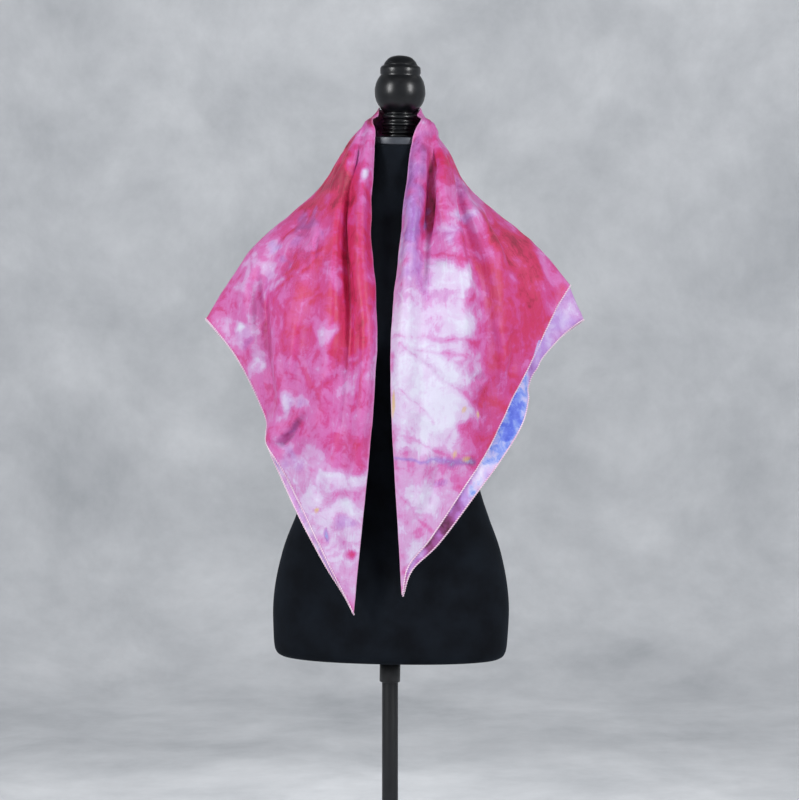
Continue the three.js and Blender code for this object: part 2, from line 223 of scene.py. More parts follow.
# %% The form's sizes
TORSO_BOTTOM = 700
NECK_TOP = 1432
NECK_TIP_DEG = 8
LEAN_DEG = 1
LEAN_PIVOT = 681
SQUARENESS = 2.25
SECTIONS = np.array([
    [700, 157, 90, 103, 0],
    [703, 162, 95, 108, 0],
    [712, 166, 98.5, 112, 0],
    [736, 168, 100, 115, 0],
    [769, 169, 100, 116, 0],
    [800, 166.5, 98, 114, 0],
    [830, 161, 95, 108, 0],
    [862, 152.5, 91, 98, 0],
    [900, 138, 87, 86, 0],
    [938, 125, 84, 78, 0],
    [973, 117, 85, 74, 0],
    [1010, 119, 93, 77, 0],
    [1060, 130, 109, 86, 0],
    [1110, 141, 121, 95, 0],
    [1155, 148, 124, 101, 0],
    [1200, 153, 113, 104, 0],
    [1236, 167, 98, 102, 0],
    [1262, 176, 87, 97, 0],
    [1282, 174, 79, 90, 1],
    [1302, 157, 73, 84, 2],
    [1324, 126, 66, 76, 4],
    [1347, 95, 60, 68, 5],
    [1369, 71, 55, 60, 6],
    [1390, 57, 51, 54, 7],
    [1410, 50.5, 48.5, 49.5, 8],
    [NECK_TOP, 48.5, 48, 48, NECK_TIP_DEG],
], float)


def section_at(height):
    """Half width, front depth, back depth and tip in degrees at each height."""
    inside = np.clip(height, SECTIONS[0, 0], SECTIONS[-1, 0])
    return curve_through(SECTIONS[:, 0], SECTIONS[:, 1:], inside)


def leaned(points):
    """Points of the form, after it leans to the viewer's right on its sleeve."""
    angle = math.radians(LEAN_DEG)
    out = points.copy()
    rise = points[..., 2] - LEAN_PIVOT
    out[..., 0] = points[..., 0] * math.cos(angle) + rise * math.sin(angle)
    out[..., 2] = LEAN_PIVOT - points[..., 0] * math.sin(angle) + rise * math.cos(angle)
    return out


def on_neck(points):
    """Points measured from the neck's top, tipped forward and leaned with the form."""
    angle = math.radians(NECK_TIP_DEG)
    out = points.copy()
    out[..., 1] = points[..., 1] * math.cos(angle) - points[..., 2] * math.sin(angle)
    out[..., 2] = NECK_TOP + points[..., 1] * math.sin(angle) + points[..., 2] * math.cos(angle)
    return leaned(out)


# %% [markdown]
# The cover is one skin of short-napped jersey, pulled over the padding and turned under at the hips. It is
# lofted: a ring of points at each height, joined ring to ring. More rings go where the shape turns
# fastest, at the rounded lower edge. A sculpted mesh would do as well, but rings from a
# table keep the skin on the solid that it stands for.

# %% The jersey cover
TORSO_SIDES = 128
SOCKET_RADIUS = 12.9
SOCKET_DEPTH = 30


def torso_ring(height):
    """The form's section at a height, tipped as its table says."""
    half_width, front, back, tip = section_at([height])[0]
    turn = np.arange(TORSO_SIDES) * 2 * math.pi / TORSO_SIDES
    power = 2 / SQUARENESS
    across = np.sign(np.cos(turn)) * np.abs(np.cos(turn)) ** power
    along = np.sign(np.sin(turn)) * np.abs(np.sin(turn)) ** power
    depth = along * np.where(along < 0, front, back)
    tip = math.radians(tip)
    return np.stack([across * half_width, depth * math.cos(tip), height + depth * math.sin(tip)], -1)


def plain_ring(radius, height, sides=TORSO_SIDES):
    """A level circle of points round the axis."""
    turn = np.arange(sides) * 2 * math.pi / sides
    return np.stack([radius * np.cos(turn), radius * np.sin(turn), np.full(sides, float(height))], -1)


def lofted(name, rings):
    """A closed body through rings of equal length, with a fan over the first and the last ring."""
    sides = len(rings[0])
    points = np.concatenate(rings + [rings[0].mean(0)[None], rings[-1].mean(0)[None]])
    index = np.arange(len(rings) * sides).reshape(len(rings), sides)
    near = np.roll(index, -1, axis=1)
    first = len(rings) * sides
    fans = [[first, b, a] for a, b in zip(index[0].tolist(), near[0].tolist())]
    fans += [[first + 1, a, b] for a, b in zip(index[-1].tolist(), near[-1].tolist())]
    return mesh_object(name, points, ring_quads(index) + fans)


turned_under = [700, 700.8, 702, 703.6, 706, 709, 712, 717]
rising = np.linspace(724, NECK_TOP, 150).tolist()
under_edge = torso_ring(TORSO_BOTTOM)
cover_rings = [
    plain_ring(SOCKET_RADIUS, TORSO_BOTTOM + SOCKET_DEPTH),
    plain_ring(SOCKET_RADIUS, TORSO_BOTTOM),
    plain_ring(SOCKET_RADIUS + 1, TORSO_BOTTOM),
    under_edge * (0.6, 0.6, 1),
    under_edge * (0.97, 0.97, 1),
] + [torso_ring(h) for h in turned_under + rising]
torso_cover = lofted("torso_cover", [leaned(r) for r in cover_rings])
print("Rings of the jersey cover and points on each:", len(cover_rings), TORSO_SIDES)


# %% [markdown]
# Turned pieces are drawn as a half profile and spun round an axis, as on a lathe. The finial is turned
# hardwood: four beads, a ball and a cap. The neck plate, sleeve, pole, hub and foot are spun the same way.
# Each bead is an arc, so its highlight runs round it in a clean line. Blender's Screw modifier spins a
# profile too. A function does it here, so that the neck's tip and lean can be added ring by ring.

# %% Turned pieces
SEAT_GAP = 0.3
PLATE_RADIUS = 48
PLATE_THICKNESS = 10.8
PLATE_ROUND = 1.5
STEM_RADIUS = 21.5
STEM_TOP = 34
BALL_RADIUS = 36.6
BALL_HEIGHT = 64
STEM_BEADS = [
    {"height": 6.4, "half": 2.8, "radius": 25.6},
    {"height": 12.2, "half": 1.6, "radius": 23.8},
    {"height": 18.2, "half": 3, "radius": 25},
    {"height": 28.7, "half": 3.4, "radius": 25},
]
CAP_PROFILE = [[29, 90], [29.4, 95], [28.2, 99.4], [24, 101.5], [23.8, 103], [21.5, 107],
               [15.6, 112.6], [8, 114.8], [0, 115.4]]


def arc(radius, height, round_x, round_z, from_deg, to_deg, pieces):
    """Points of an elliptical arc for a turned profile."""
    angles = np.radians(np.linspace(from_deg, to_deg, pieces + 1))
    return [[radius + round_x * math.cos(a), height + round_z * math.sin(a)] for a in angles]


def softened(profile, rounds):
    """Cuts each corner of a profile a few times, which rounds it a little."""
    points = np.array(profile, float)
    for _ in range(rounds):
        cut = np.stack([points[:-1] * 0.75 + points[1:] * 0.25, points[:-1] * 0.25 + points[1:] * 0.75], 1)
        points = np.concatenate([points[:1], cut.reshape(-1, 2), points[-1:]])
    return points.tolist()


def turned(name, profile, sides=96, place=lambda p: p):
    """A body of revolution from radius and height pairs that start and end on the axis."""
    inner = [p for p in profile if p[0] > 1e-6]
    rings = [plain_ring(max(radius, 0.01), height, sides) for radius, height in inner]
    rings = [plain_ring(0.2, profile[0][1], sides)] + rings + [plain_ring(0.2, profile[-1][1], sides)]
    return lofted(name, [place(r) for r in rings])


finial_foot = PLATE_THICKNESS + SEAT_GAP
collar = STEM_BEADS[0]["radius"]
finial_profile = [[0, finial_foot], [collar, finial_foot], [collar, finial_foot + 2.4]]
for bead in STEM_BEADS:
    middle = finial_foot + bead["height"]
    depth = bead["radius"] - STEM_RADIUS
    finial_profile += [[STEM_RADIUS, middle - bead["half"] - 0.4]]
    finial_profile += arc(STEM_RADIUS, middle, depth, bead["half"], -80, 80, 8)
finial_profile += [[STEM_RADIUS, finial_foot + STEM_TOP]]
finial_profile += arc(0, finial_foot + BALL_HEIGHT, BALL_RADIUS, BALL_RADIUS, -54, 40, 34)
cap = softened([[radius, finial_foot + height] for radius, height in CAP_PROFILE], 2)
finial_profile += cap
finial_turned = turned("finial_turned", finial_profile, 96, on_neck)

plate_rim = PLATE_RADIUS - PLATE_ROUND
plate_profile = [[0, SEAT_GAP]]
plate_profile += arc(plate_rim, SEAT_GAP + PLATE_ROUND, PLATE_ROUND, PLATE_ROUND, -90, 0, 6)
plate_profile += arc(plate_rim, PLATE_THICKNESS - PLATE_ROUND, PLATE_ROUND, PLATE_ROUND, 0, 90, 6)
plate_profile += [[0, PLATE_THICKNESS]]
neck_plate_disc = turned("neck_plate_disc", plate_profile, 96, on_neck)
print("Points on the half profiles of finial and plate:", len(finial_profile), len(plate_profile))


# %% The stand
FOOT_RADIUS = 172
FOOT_THICKNESS = 10
FOOT_ROUND = 3
HUB_RADIUS = 26
HUB_FLANGE = 6
HUB_WALL = 8
HUB_HEIGHT = 36
HUB_ROUND = 2
POLE_RADIUS = 11.5
SLEEVE_RADIUS = 14.8
SLEEVE_HEIGHT = 38
SLEEVE_BORE = 12.3


def turned_ring(name, profile, sides=64, place=lambda p: p):
    """A body of revolution from a profile that closes on itself, clear of the axis."""
    rings = [place(plain_ring(radius, height, sides)) for radius, height in profile]
    points = np.concatenate(rings)
    index = np.arange(len(points)).reshape(len(rings), sides)
    return mesh_object(name, points, ring_quads(np.concatenate([index, index[:1]])))


foot_rim = FOOT_RADIUS - FOOT_ROUND
foot_profile = [[0, 0], [foot_rim, 0], [FOOT_RADIUS - 0.6, 0.8]]
foot_profile += arc(foot_rim, FOOT_THICKNESS - FOOT_ROUND, FOOT_ROUND, FOOT_ROUND, 0, 90, 8)
foot_profile += [[60, FOOT_THICKNESS], [0, FOOT_THICKNESS]]
foot_disc = turned("foot_disc", foot_profile, 128)

hub_foot = FOOT_THICKNESS + SEAT_GAP
hub_top = hub_foot + HUB_HEIGHT
hub_wall = POLE_RADIUS + HUB_WALL
hub_bore = POLE_RADIUS + SEAT_GAP
hub_profile = [[hub_bore, hub_foot], [HUB_RADIUS, hub_foot]]
hub_profile += arc(HUB_RADIUS - 1, hub_foot + HUB_FLANGE - 1, 1, 1, 0, 80, 4)
hub_profile += [[hub_wall + 1.4, hub_foot + 2 * HUB_FLANGE - 3], [hub_wall, hub_foot + 2 * HUB_FLANGE]]
hub_profile += arc(hub_wall - HUB_ROUND, hub_top - HUB_ROUND, HUB_ROUND, HUB_ROUND, 0, 90, 5)
hub_profile += [[hub_bore, hub_top]]
hub_collar = turned_ring("hub_collar", hub_profile)

pole_top = TORSO_BOTTOM + SOCKET_DEPTH - 2
pole_profile = [[0, hub_foot], [POLE_RADIUS, hub_foot], [POLE_RADIUS, 200], [POLE_RADIUS, 450]]
pole_profile += arc(POLE_RADIUS - 1, pole_top - 1, 1, 1, 0, 90, 3) + [[0, pole_top]]
pole_tube = turned("pole_tube", pole_profile, 48)

sleeve_foot = TORSO_BOTTOM - SLEEVE_HEIGHT
sleeve_top = TORSO_BOTTOM - SEAT_GAP
sleeve_profile = [[SLEEVE_BORE, sleeve_foot + 0.5], [SLEEVE_BORE + 0.5, sleeve_foot]]
sleeve_profile += [[SLEEVE_RADIUS - 0.8, sleeve_foot], [SLEEVE_RADIUS, sleeve_foot + 0.8]]
sleeve_profile += [[SLEEVE_RADIUS, sleeve_top], [SLEEVE_BORE, sleeve_top]]
sleeve_tube = turned_ring("sleeve_tube", sleeve_profile, 48, leaned)
print("The pole shows for this many millimetres:", sleeve_foot - hub_top)


# %% [markdown]
# The cloth hangs in rays from its seat behind the finial. Each row of the table is one ray: the points
# where it crosses the collar, the shoulder, the chest and the hem, as x, y and the drop below the seat,
# and how far the under layer reaches past the outer layer's hem. Rays run from the left fold edge round
# the back to the right fold edge. The solid model is made from the same rays with fewer steps. A cloth
# simulation would find folds of its own. Rays put each fold where the photograph has it.

# %% The cloth's rays
SEAT_HEIGHT = 1482
SEAT_RADIUS = 28.5
SEAT_FORWARD = 5
SEAT_WRAP_DEG = 200
STATIONS = [0, 0.09, 0.3, 0.55, 1]
CENTRE_BACK_RAY = 13
LAST_RAY = 26
CLOTH_RAYS = [
    # collar, shoulder, chest, hem, past
    [(-22, -44, 42), (-28, -88, 183), (-20, -134, 359), (-49, -124, 707), (1, 2)],
    [(-30, -47, 43), (-41, -105, 178), (-34, -146, 351), (-63, -122, 677), (0, 4)],
    [(-38, -39, 44), (-56, -73, 167), (-54, -123, 332), (-84, -117, 638), (-4, 4)],
    [(-46, -35, 46), (-72, -87, 158), (-79, -138, 315), (-115, -104, 574), (-7, 7)],
    [(-51, -27, 47), (-84, -64, 148), (-108, -110, 294), (-141, -84, 524), (-6, 7)],
    [(-54, -18, 48), (-91, -54, 140), (-138, -92, 277), (-168, -76, 479), (-1, 1)],
    [(-55, -8, 48), (-97, -34, 132), (-176, -40, 266), (-174, -38, 441), (-1, 1)],
    [(-55, 0, 48), (-101, -14, 124), (-196, -26, 232), (-217, -22, 355), (-1, 1)],
    [(-54, 9, 48), (-103, 5, 117), (-190, 10, 192), (-264, 12, 300), (-1, 1)],
    [(-51, 20, 46), (-94, 36, 114), (-178, 54, 214), (-212, 52, 366), (0, 4)],
    [(-46, 32, 44), (-76, 66, 120), (-142, 104, 262), (-178, 102, 440), (0, 6)],
    [(-37, 38, 43), (-52, 76, 127), (-100, 106, 294), (-146, 100, 530), (0, 6)],
    [(-22, 50, 42), (-24, 96, 132), (-50, 128, 318), (-92, 136, 640), (0, 6)],
    [(8, 50, 41), (10, 90, 134), (4, 118, 330), (-4, 128, 768), (0, 6)],
    [(36, 50, 42), (42, 96, 132), (58, 129, 318), (86, 138, 634), (0, 6)],
    [(52, 38, 43), (68, 76, 127), (108, 104, 290), (144, 100, 520), (0, 8)],
    [(61, 32, 44), (90, 66, 120), (154, 102, 256), (184, 100, 430), (2, 12)],
    [(68, 20, 46), (106, 36, 116), (187, 52, 206), (206, 50, 334), (8, 24)],
    [(71, 9, 47), (115, 5, 116), (201, 10, 188), (257, 12, 254), (20, 48)],
    [(71, -1, 48), (115, -14, 122), (200, -24, 212), (234, -12, 290), (10, 36)],
    [(69, -9, 48), (112, -34, 128), (178, -52, 232), (204, -34, 350), (1, 24)],
    [(68, -18, 48), (106, -56, 132), (152, -86, 248), (167, -66, 420), (20, 24)],
    [(66, -27, 47), (90, -62, 138), (124, -94, 262), (137, -82, 482), (18, 16)],
    [(62, -35, 46), (77, -89, 146), (99, -130, 280), (106, -102, 529), (13, 16)],
    [(53, -39, 44), (50, -72, 166), (50, -128, 336), (58, -114, 602), (10, 10)],
    [(43, -47, 43), (32, -104, 180), (20, -146, 350), (25, -121, 643), (6, 5)],
    [(33, -44, 41), (17, -88, 189), (3, -136, 359), (16, -124, 681), (2, 3)],
]


def seat_point(ray):
    """Where a ray starts on the finial's stem."""
    turn = math.radians(90 + SEAT_WRAP_DEG * (0.5 - ray / LAST_RAY))
    lean = (SEAT_HEIGHT - LEAN_PIVOT) * math.tan(math.radians(LEAN_DEG))
    return (lean + SEAT_RADIUS * math.cos(turn), SEAT_RADIUS * math.sin(turn) - SEAT_FORWARD, 0)


station_points = np.array([[seat_point(i)] + row[:4] for i, row in enumerate(CLOTH_RAYS)], float)
past_points = np.array([row[4] for row in CLOTH_RAYS], float)
print("Rays of the cloth and points on each:", station_points.shape[:2])


def hanging_points(places, shares):
    """The cloth's inner face as it hangs, before it is lifted clear of the form. Rows follow shares."""
    ray_numbers = np.arange(LAST_RAY + 1)
    upper = curve_through(ray_numbers, station_points[:, :4].reshape(LAST_RAY + 1, -1), places)
    hem = curve_through(ray_numbers, station_points[:, 4], places, CENTRE_BACK_RAY)
    stations = np.concatenate([upper.reshape(-1, 4, 3), hem.reshape(-1, 1, 3)], 1)
    by_station = stations.transpose(1, 0, 2).reshape(len(STATIONS), -1)
    grid = curve_through(STATIONS, by_station, np.clip(shares, 0, 1)).reshape(len(shares), -1, 3)
    beyond = np.clip(np.asarray(shares) - 1, 0, None)[:, None]
    past = curve_through(ray_numbers, past_points, places)
    grid[..., 0] += beyond * past[None, :, 0]
    grid[..., 2] = SEAT_HEIGHT - grid[..., 2] - beyond * past[None, :, 1]
    return grid


# %% [markdown]
# Cloth can't pass through what it hangs on. The form's surface is known as a formula, so the distance to
# it, and the way out of it, come from its slope. Every point nearer than the clearance is lifted out along
# that slope, by an amount that grows softly, so no edge shows where the cloth starts to rest.

# %% Lift the cloth clear of the form
FORM_CLEARANCE = 2.5
CLEARANCE_SOFTNESS = 1
SLOPE_STEP = 6


def outside_form(points):
    """How far outside the form each point lies, as a share of the section at its height."""
    flat = points.reshape(-1, 3)
    lean = (flat[:, 2] - LEAN_PIVOT) * math.tan(math.radians(LEAN_DEG))
    tip = np.radians(section_at(flat[:, 2])[:, 3])
    section = section_at(flat[:, 2] - flat[:, 1] * np.sin(tip))
    across = np.abs(flat[:, 0] - lean) / section[:, 0]
    along = np.abs(flat[:, 1]) / np.where(flat[:, 1] < 0, section[:, 1], section[:, 2])
    reach = (across ** SQUARENESS + along ** SQUARENESS) ** (1 / SQUARENESS)
    return (reach - 1).reshape(points.shape[:-1])


def rest_on_form(points, clearance, passes=3):
    """Lifts points off the form where they would lie in it or too near it."""
    out = points.copy()
    for _ in range(passes):
        slope = np.empty_like(out)
        for axis in range(3):
            step = np.zeros(3)
            step[axis] = SLOPE_STEP
            slope[..., axis] = (outside_form(out + step) - outside_form(out - step)) / (2 * SLOPE_STEP)
        steepness = np.linalg.norm(slope, axis=-1)
        lack = clearance - outside_form(out) / steepness
        lift = (lack + np.hypot(lack, CLEARANCE_SOFTNESS)) / 2
        out += slope * (lift / steepness)[..., None]
    return out


# %% [markdown]
# Silk keeps the way it was handled. The photograph shows soft rolls beside the front edges, sharper ridges
# over the right shoulder and short crumples low on both sides. Each is one row here: how far it stands out
# (or sinks, if negative), its width to the left and right of its line, and the line itself on the front
# elevation. The back shows the same kind of folds, radiating from the neck. They are listed one by one,
# uneven in length and depth, because an even spacing would look like pleated card.

# %% Creases on the front
FRONT_CREASES = [
    # height, width left, width right, line as x and z from the top down
    (3.8, 3.6, 13, [(-36, 1452), (-47, 1434), (-52, 1413), (-53, 1365), (-53, 1327), (-52, 1290), (-48, 1262),
                    (-43, 1235), (-41, 1204), (-44, 1130), (-50, 1050)]),
    (-1.6, 12, 4, [(-55, 1424), (-61, 1400), (-63, 1350), (-63, 1290), (-60, 1240), (-56, 1190),
                   (-59, 1120)]),
    (5, 6, 5, [(-47, 1432), (-56, 1400), (-73, 1369), (-86, 1328), (-92, 1290)]),
    (3.6, 5, 7, [(-96, 1330), (-104, 1280), (-108, 1225)]),
    (-9, 3, 12, [(-183, 1264), (-182, 1225), (-179, 1180), (-176, 1120), (-169, 1070), (-163, 1006)]),
    (6, 12, 6, [(-202, 1246), (-195, 1190), (-186, 1120)]),
    (1.8, 5, 5, [(-166, 1196), (-160, 1130), (-156, 1070)]),
    (-1.8, 5, 5, [(-154, 1206), (-148, 1140), (-145, 1086)]),
    (5.5, 4, 4, [(-168, 1004), (-148, 1020), (-126, 1042), (-106, 1064)]),
    (-6.5, 5, 5, [(-158, 995), (-140, 1011), (-122, 1031), (-108, 1050)]),
    (3, 6, 6, [(-140, 990), (-122, 1006), (-106, 1028)]),
    (-2, 3, 3, [(-37, 1216), (-39, 1120), (-46, 1072), (-53, 1032)]),
    (1.8, 5, 4, [(-29, 1300), (-26, 1200), (-30, 1090), (-38, 1000)]),
    (-3, 4, 5, [(-88, 1299), (-120, 1268), (-148, 1248), (-171, 1232)]),
    (2.8, 4, 4, [(-84, 1316), (-100, 1290), (-128, 1262), (-150, 1240)]),
    (3, 4, 4, [(-84, 1304), (-90, 1272), (-103, 1244)]),
    (1.4, 3, 3, [(-98, 1334), (-118, 1310), (-136, 1292)]),
    (-1.8, 3, 3, [(-116, 1134), (-108, 1100), (-97, 1075)]),
    (1.6, 3.4, 3.4, [(-72, 1112), (-92, 1090), (-109, 1070)]),
    (3.4, 6, 6, [(-128, 1180), (-132, 1130), (-138, 1080)]),
    (3.2, 7, 7, [(-60, 1040), (-76, 970), (-80, 910)]),
    (-3.2, 7, 7, [(-84, 1010), (-95, 960), (-98, 920)]),
    (3, 8, 5, [(45, 1428), (46, 1390), (42, 1340), (38, 1280)]),
    (-8.5, 9, 2.8, [(62, 1438), (65, 1405), (64, 1370), (61, 1335), (58, 1300), (56, 1272)]),
    (4.5, 3, 8, [(68, 1436), (71, 1400), (70, 1375), (71, 1340), (73, 1300)]),
    (7.5, 3.6, 9, [(73, 1424), (79, 1384), (83, 1355), (91, 1309), (97, 1254), (105, 1215), (113, 1194),
                   (132, 1176)]),
    (-5.5, 6, 9, [(88, 1378), (96, 1330), (106, 1272), (114, 1228)]),
    (4.6, 5, 9, [(112, 1344), (122, 1326), (136, 1300), (150, 1270), (157, 1236)]),
    (-3.4, 8, 10, [(130, 1326), (148, 1296), (164, 1264), (174, 1232)]),
    (2, 5, 4, [(36, 1420), (30, 1340), (24, 1260), (18, 1180)]),
    (-1.8, 3.4, 3.4, [(54, 1252), (72, 1257), (90, 1262)]),
    (1.8, 3.4, 3.4, [(50, 1244), (70, 1249), (92, 1252)]),
    (2.2, 3, 3, [(106, 1108), (118, 1106), (128, 1107)]),
    (-2.2, 3.4, 3.4, [(108, 1098), (120, 1094), (132, 1098)]),
    (2.4, 3, 3, [(118, 1090), (124, 1082), (131, 1074)]),
    (-2.2, 3, 3, [(112, 1070), (120, 1058), (122, 1040)]),
    (2, 3, 3, [(126, 1060), (118, 1040), (128, 1020)]),
    (-1.6, 3.4, 3.4, [(12, 1143), (58, 1106), (100, 1076), (124, 1055)]),
    (1.4, 5, 5, [(20, 1060), (60, 1030), (96, 1006)]),
    (4, 7, 7, [(150, 1180), (158, 1130), (154, 1080)]),
    (-4, 7, 8, [(170, 1170), (172, 1130), (164, 1090)]),
    (2.6, 6, 6, [(50, 1010), (44, 960), (34, 900)]),
    (-2.6, 6, 6, [(70, 1000), (60, 950), (46, 905)]),
]
UNDER_CREASES = [
    (-5, 6, 6, [(196, 1122), (197, 1096), (199, 1068)]),
    (3, 6, 6, [(214, 1160), (206, 1130), (203, 1100)]),
    (2, 5, 5, [(160, 1030), (150, 1000), (140, 980)]),
]

# %% Creases on the back
BACK_CREASES = [
    (-10.8, 9, 10, [(-18, 1450), (-34, 1390), (-48, 1310), (-58, 1220), (-66, 1130)]),
    (8.1, 8, 9, [(-6, 1446), (-12, 1370), (-22, 1270), (-30, 1160), (-36, 1040)]),
    (-9, 10, 9, [(14, 1440), (18, 1360), (22, 1260), (20, 1150), (14, 1030)]),
    (9, 9, 8, [(26, 1448), (38, 1380), (50, 1290), (58, 1190)]),
    (-9.9, 9, 10, [(38, 1442), (60, 1380), (84, 1310), (100, 1240), (108, 1170)]),
    (7.2, 9, 10, [(-34, 1436), (-58, 1380), (-86, 1320), (-108, 1250), (-120, 1160)]),
    (-7.2, 10, 10, [(-56, 1402), (-88, 1360), (-122, 1310), (-148, 1250)]),
    (6.3, 9, 9, [(66, 1400), (98, 1360), (132, 1308), (156, 1250), (168, 1190)]),
    (-6.3, 9, 9, [(86, 1392), (124, 1350), (160, 1302), (184, 1250)]),
    (5.4, 12, 12, [(-150, 1180), (-150, 1110), (-140, 1050)]),
    (-5.4, 12, 12, [(-120, 1140), (-118, 1060), (-104, 990)]),
    (6.1, 12, 12, [(-70, 1080), (-74, 990), (-64, 910)]),
    (-5.4, 12, 12, [(-40, 1020), (-44, 930), (-34, 850)]),
    (4.7, 14, 14, [(30, 1010), (34, 920), (26, 830)]),
    (-5.8, 12, 12, [(64, 1090), (72, 1000), (66, 920)]),
    (5.4, 12, 12, [(100, 1130), (112, 1050), (104, 980)]),
    (-4.7, 10, 10, [(146, 1170), (152, 1100), (146, 1050)]),
    (3.2, 6, 6, [(-30, 1180), (-4, 1172), (24, 1178)]),
    (-3.2, 6, 6, [(-44, 1100), (-14, 1090), (18, 1094)]),
    (2.9, 6, 6, [(60, 1230), (86, 1222), (108, 1228)]),
]
print("Creases on front, under layer and back:", len(FRONT_CREASES), len(UNDER_CREASES), len(BACK_CREASES))


# %% How a crease lifts the cloth
LINE_STEPS = 40
CREASE_REACH = 45


def crease_lift(x, z, creases):
    """How far the creases move each point outwards, from its place on the elevation."""
    lift = np.zeros_like(x)
    for height, left, right, line in creases:
        line = np.array(line, float)
        run = lengths_along(line)
        share = np.linspace(0, 1, LINE_STEPS)
        path = curve_through(run, line, share * run[-1])
        ahead = unit(np.gradient(path, axis=0))
        near = (x > path[:, 0].min() - CREASE_REACH) & (x < path[:, 0].max() + CREASE_REACH)
        near &= (z > path[:, 1].min() - CREASE_REACH) & (z < path[:, 1].max() + CREASE_REACH)
        away_x = x[near][:, None] - path[:, 0]
        away_z = z[near][:, None] - path[:, 1]
        nearest = np.argmin(away_x ** 2 + away_z ** 2, axis=1)
        pick = np.arange(len(nearest))
        ax, az = away_x[pick, nearest], away_z[pick, nearest]
        side = ax * ahead[nearest, 1] - az * ahead[nearest, 0]
        forward = ax * ahead[nearest, 0] + az * ahead[nearest, 1]
        at = share[nearest] + forward / run[-1]
        past_end = np.maximum(np.maximum(-at, at - 1), 0) * run[-1]
        distance = np.hypot(side, past_end)
        width = np.where(side > 0, left, right)
        fade = smooth_step(0, 0.22, at) * smooth_step(0, 0.28, 1 - at)
        uneven = 1 + 0.18 * np.sin(7 * at + height)
        lift[near] += height * uneven * fade * np.exp(-(distance / width) ** 2)
    return lift


# %% [markdown]
# Each layer is a grid of points: columns along the rays, closer together on the front where the folds are
# small, and rows from seat to hem. The grid hangs, is lifted clear of the form, takes its creases and small
# gathers round the stem, and is lifted clear once more. Noise of a millimetre or less keeps the light from
# sliding over it as over plastic.

# %% The cloth as a grid
FRONT_COLUMNS = 16
BACK_COLUMNS = 8
CLOTH_ROWS = 134
PAST_ROWS = 9
FIRST_BACK_RAY = 8
LAST_BACK_RAY = 18
LEAST_CLEARANCE = 1.2


def cloth_places():
    """The ray number of each column, with more columns between rays on the front."""
    places = [0.0]
    for ray in range(LAST_RAY):
        is_back = FIRST_BACK_RAY <= ray < LAST_BACK_RAY
        steps = BACK_COLUMNS if is_back else FRONT_COLUMNS
        places += [ray + (s + 1) / steps for s in range(steps)]
    return np.array(places)


def back_share(places, low, high):
    """0 on the front rays and 1 on the back ones, with a soft change between two ray numbers."""
    return smooth_step(low, high, places) * smooth_step(low, high, LAST_RAY - places)


def outward(grid):
    """The unit normal of a grid of points, away from the form."""
    across = np.gradient(grid, axis=1)
    down = np.gradient(grid, axis=0)
    return unit(np.cross(across, down))


def softened_grid(grid, rounds):
    """The grid with each point averaged with its neighbours a few times."""
    for _ in range(rounds):
        wide = np.pad(grid, [(1, 1), (1, 1), (0, 0)], mode="edge")
        grid = (wide[:-2, 1:-1] + wide[2:, 1:-1] + wide[1:-1, :-2] + wide[1:-1, 2:]) / 8 + grid / 2
    return grid


def crumple(grid, seed, size, height):
    """Small uneven bumps, from smooth noise read at each point."""
    points = (grid.reshape(-1, 3) / size).tolist()
    values = [noise.noise(Vector(p) + Vector((seed, 0, 0))) for p in points]
    return height * np.array(values).reshape(grid.shape[:2])


def draped(places, shares, extra_creases):
    """The cloth's inner face with its creases, as a grid."""
    grid = hanging_points(places, shares)
    free = smooth_step(0.03, 0.06, np.asarray(shares))[:, None, None]
    grid += free * (rest_on_form(grid, FORM_CLEARANCE) - grid)
    normal = outward(grid)
    share = np.asarray(shares)[:, None]
    place = places[None, :]
    is_back = back_share(place, 7.8, 8.8)
    front = crease_lift(grid[..., 0].ravel(), grid[..., 2].ravel(), FRONT_CREASES + extra_creases)
    back = crease_lift(grid[..., 0].ravel(), grid[..., 2].ravel(), BACK_CREASES)
    lift = front.reshape(grid.shape[:2]) * (1 - is_back) + back.reshape(grid.shape[:2]) * is_back
    gather = np.sin(2.6 * place + 1.1 * np.sin(0.8 * place)) + 0.5 * np.sin(4.7 * place + 2)
    lift += 1.1 * gather * smooth_step(0.01, 0.08, share) * (1 - smooth_step(0.1, 0.34, share))
    lift += crumple(grid, 3, 34, 1.6) * free[..., 0]
    lift += crumple(grid, 9, 13, 0.55) * free[..., 0]
    grid += normal * lift[..., None]
    grid += free * (rest_on_form(grid, LEAST_CLEARANCE) - grid)
    return grid


all_places = cloth_places()
outer_shares = np.linspace(0, 1, CLOTH_ROWS + 1)
under_shares = np.concatenate([outer_shares, 1 + np.arange(1, PAST_ROWS + 1) / PAST_ROWS])
print("Columns and rows of the cloth:", len(all_places), len(under_shares))


# %% [markdown]
# Noise for the dye and the weave is read in space, at the cloth itself, so it is nowhere stretched, not even
# where a roll gathers the silk. Streaks need a direction, so one UV map holds the way across the cloth at
# half its height and the way down each ray: noise drawn long on it follows the pull of the cloth.


def ray_places(grid):
    """Distance across at half height and down each ray, in millimetres."""
    across = lengths_along(grid[len(grid) // 2])
    steps = np.linalg.norm(np.diff(grid, axis=0), axis=2)
    down = np.concatenate([np.zeros((1, grid.shape[1])), np.cumsum(steps, axis=0)])
    return np.stack([np.broadcast_to(across, down.shape), down], -1)
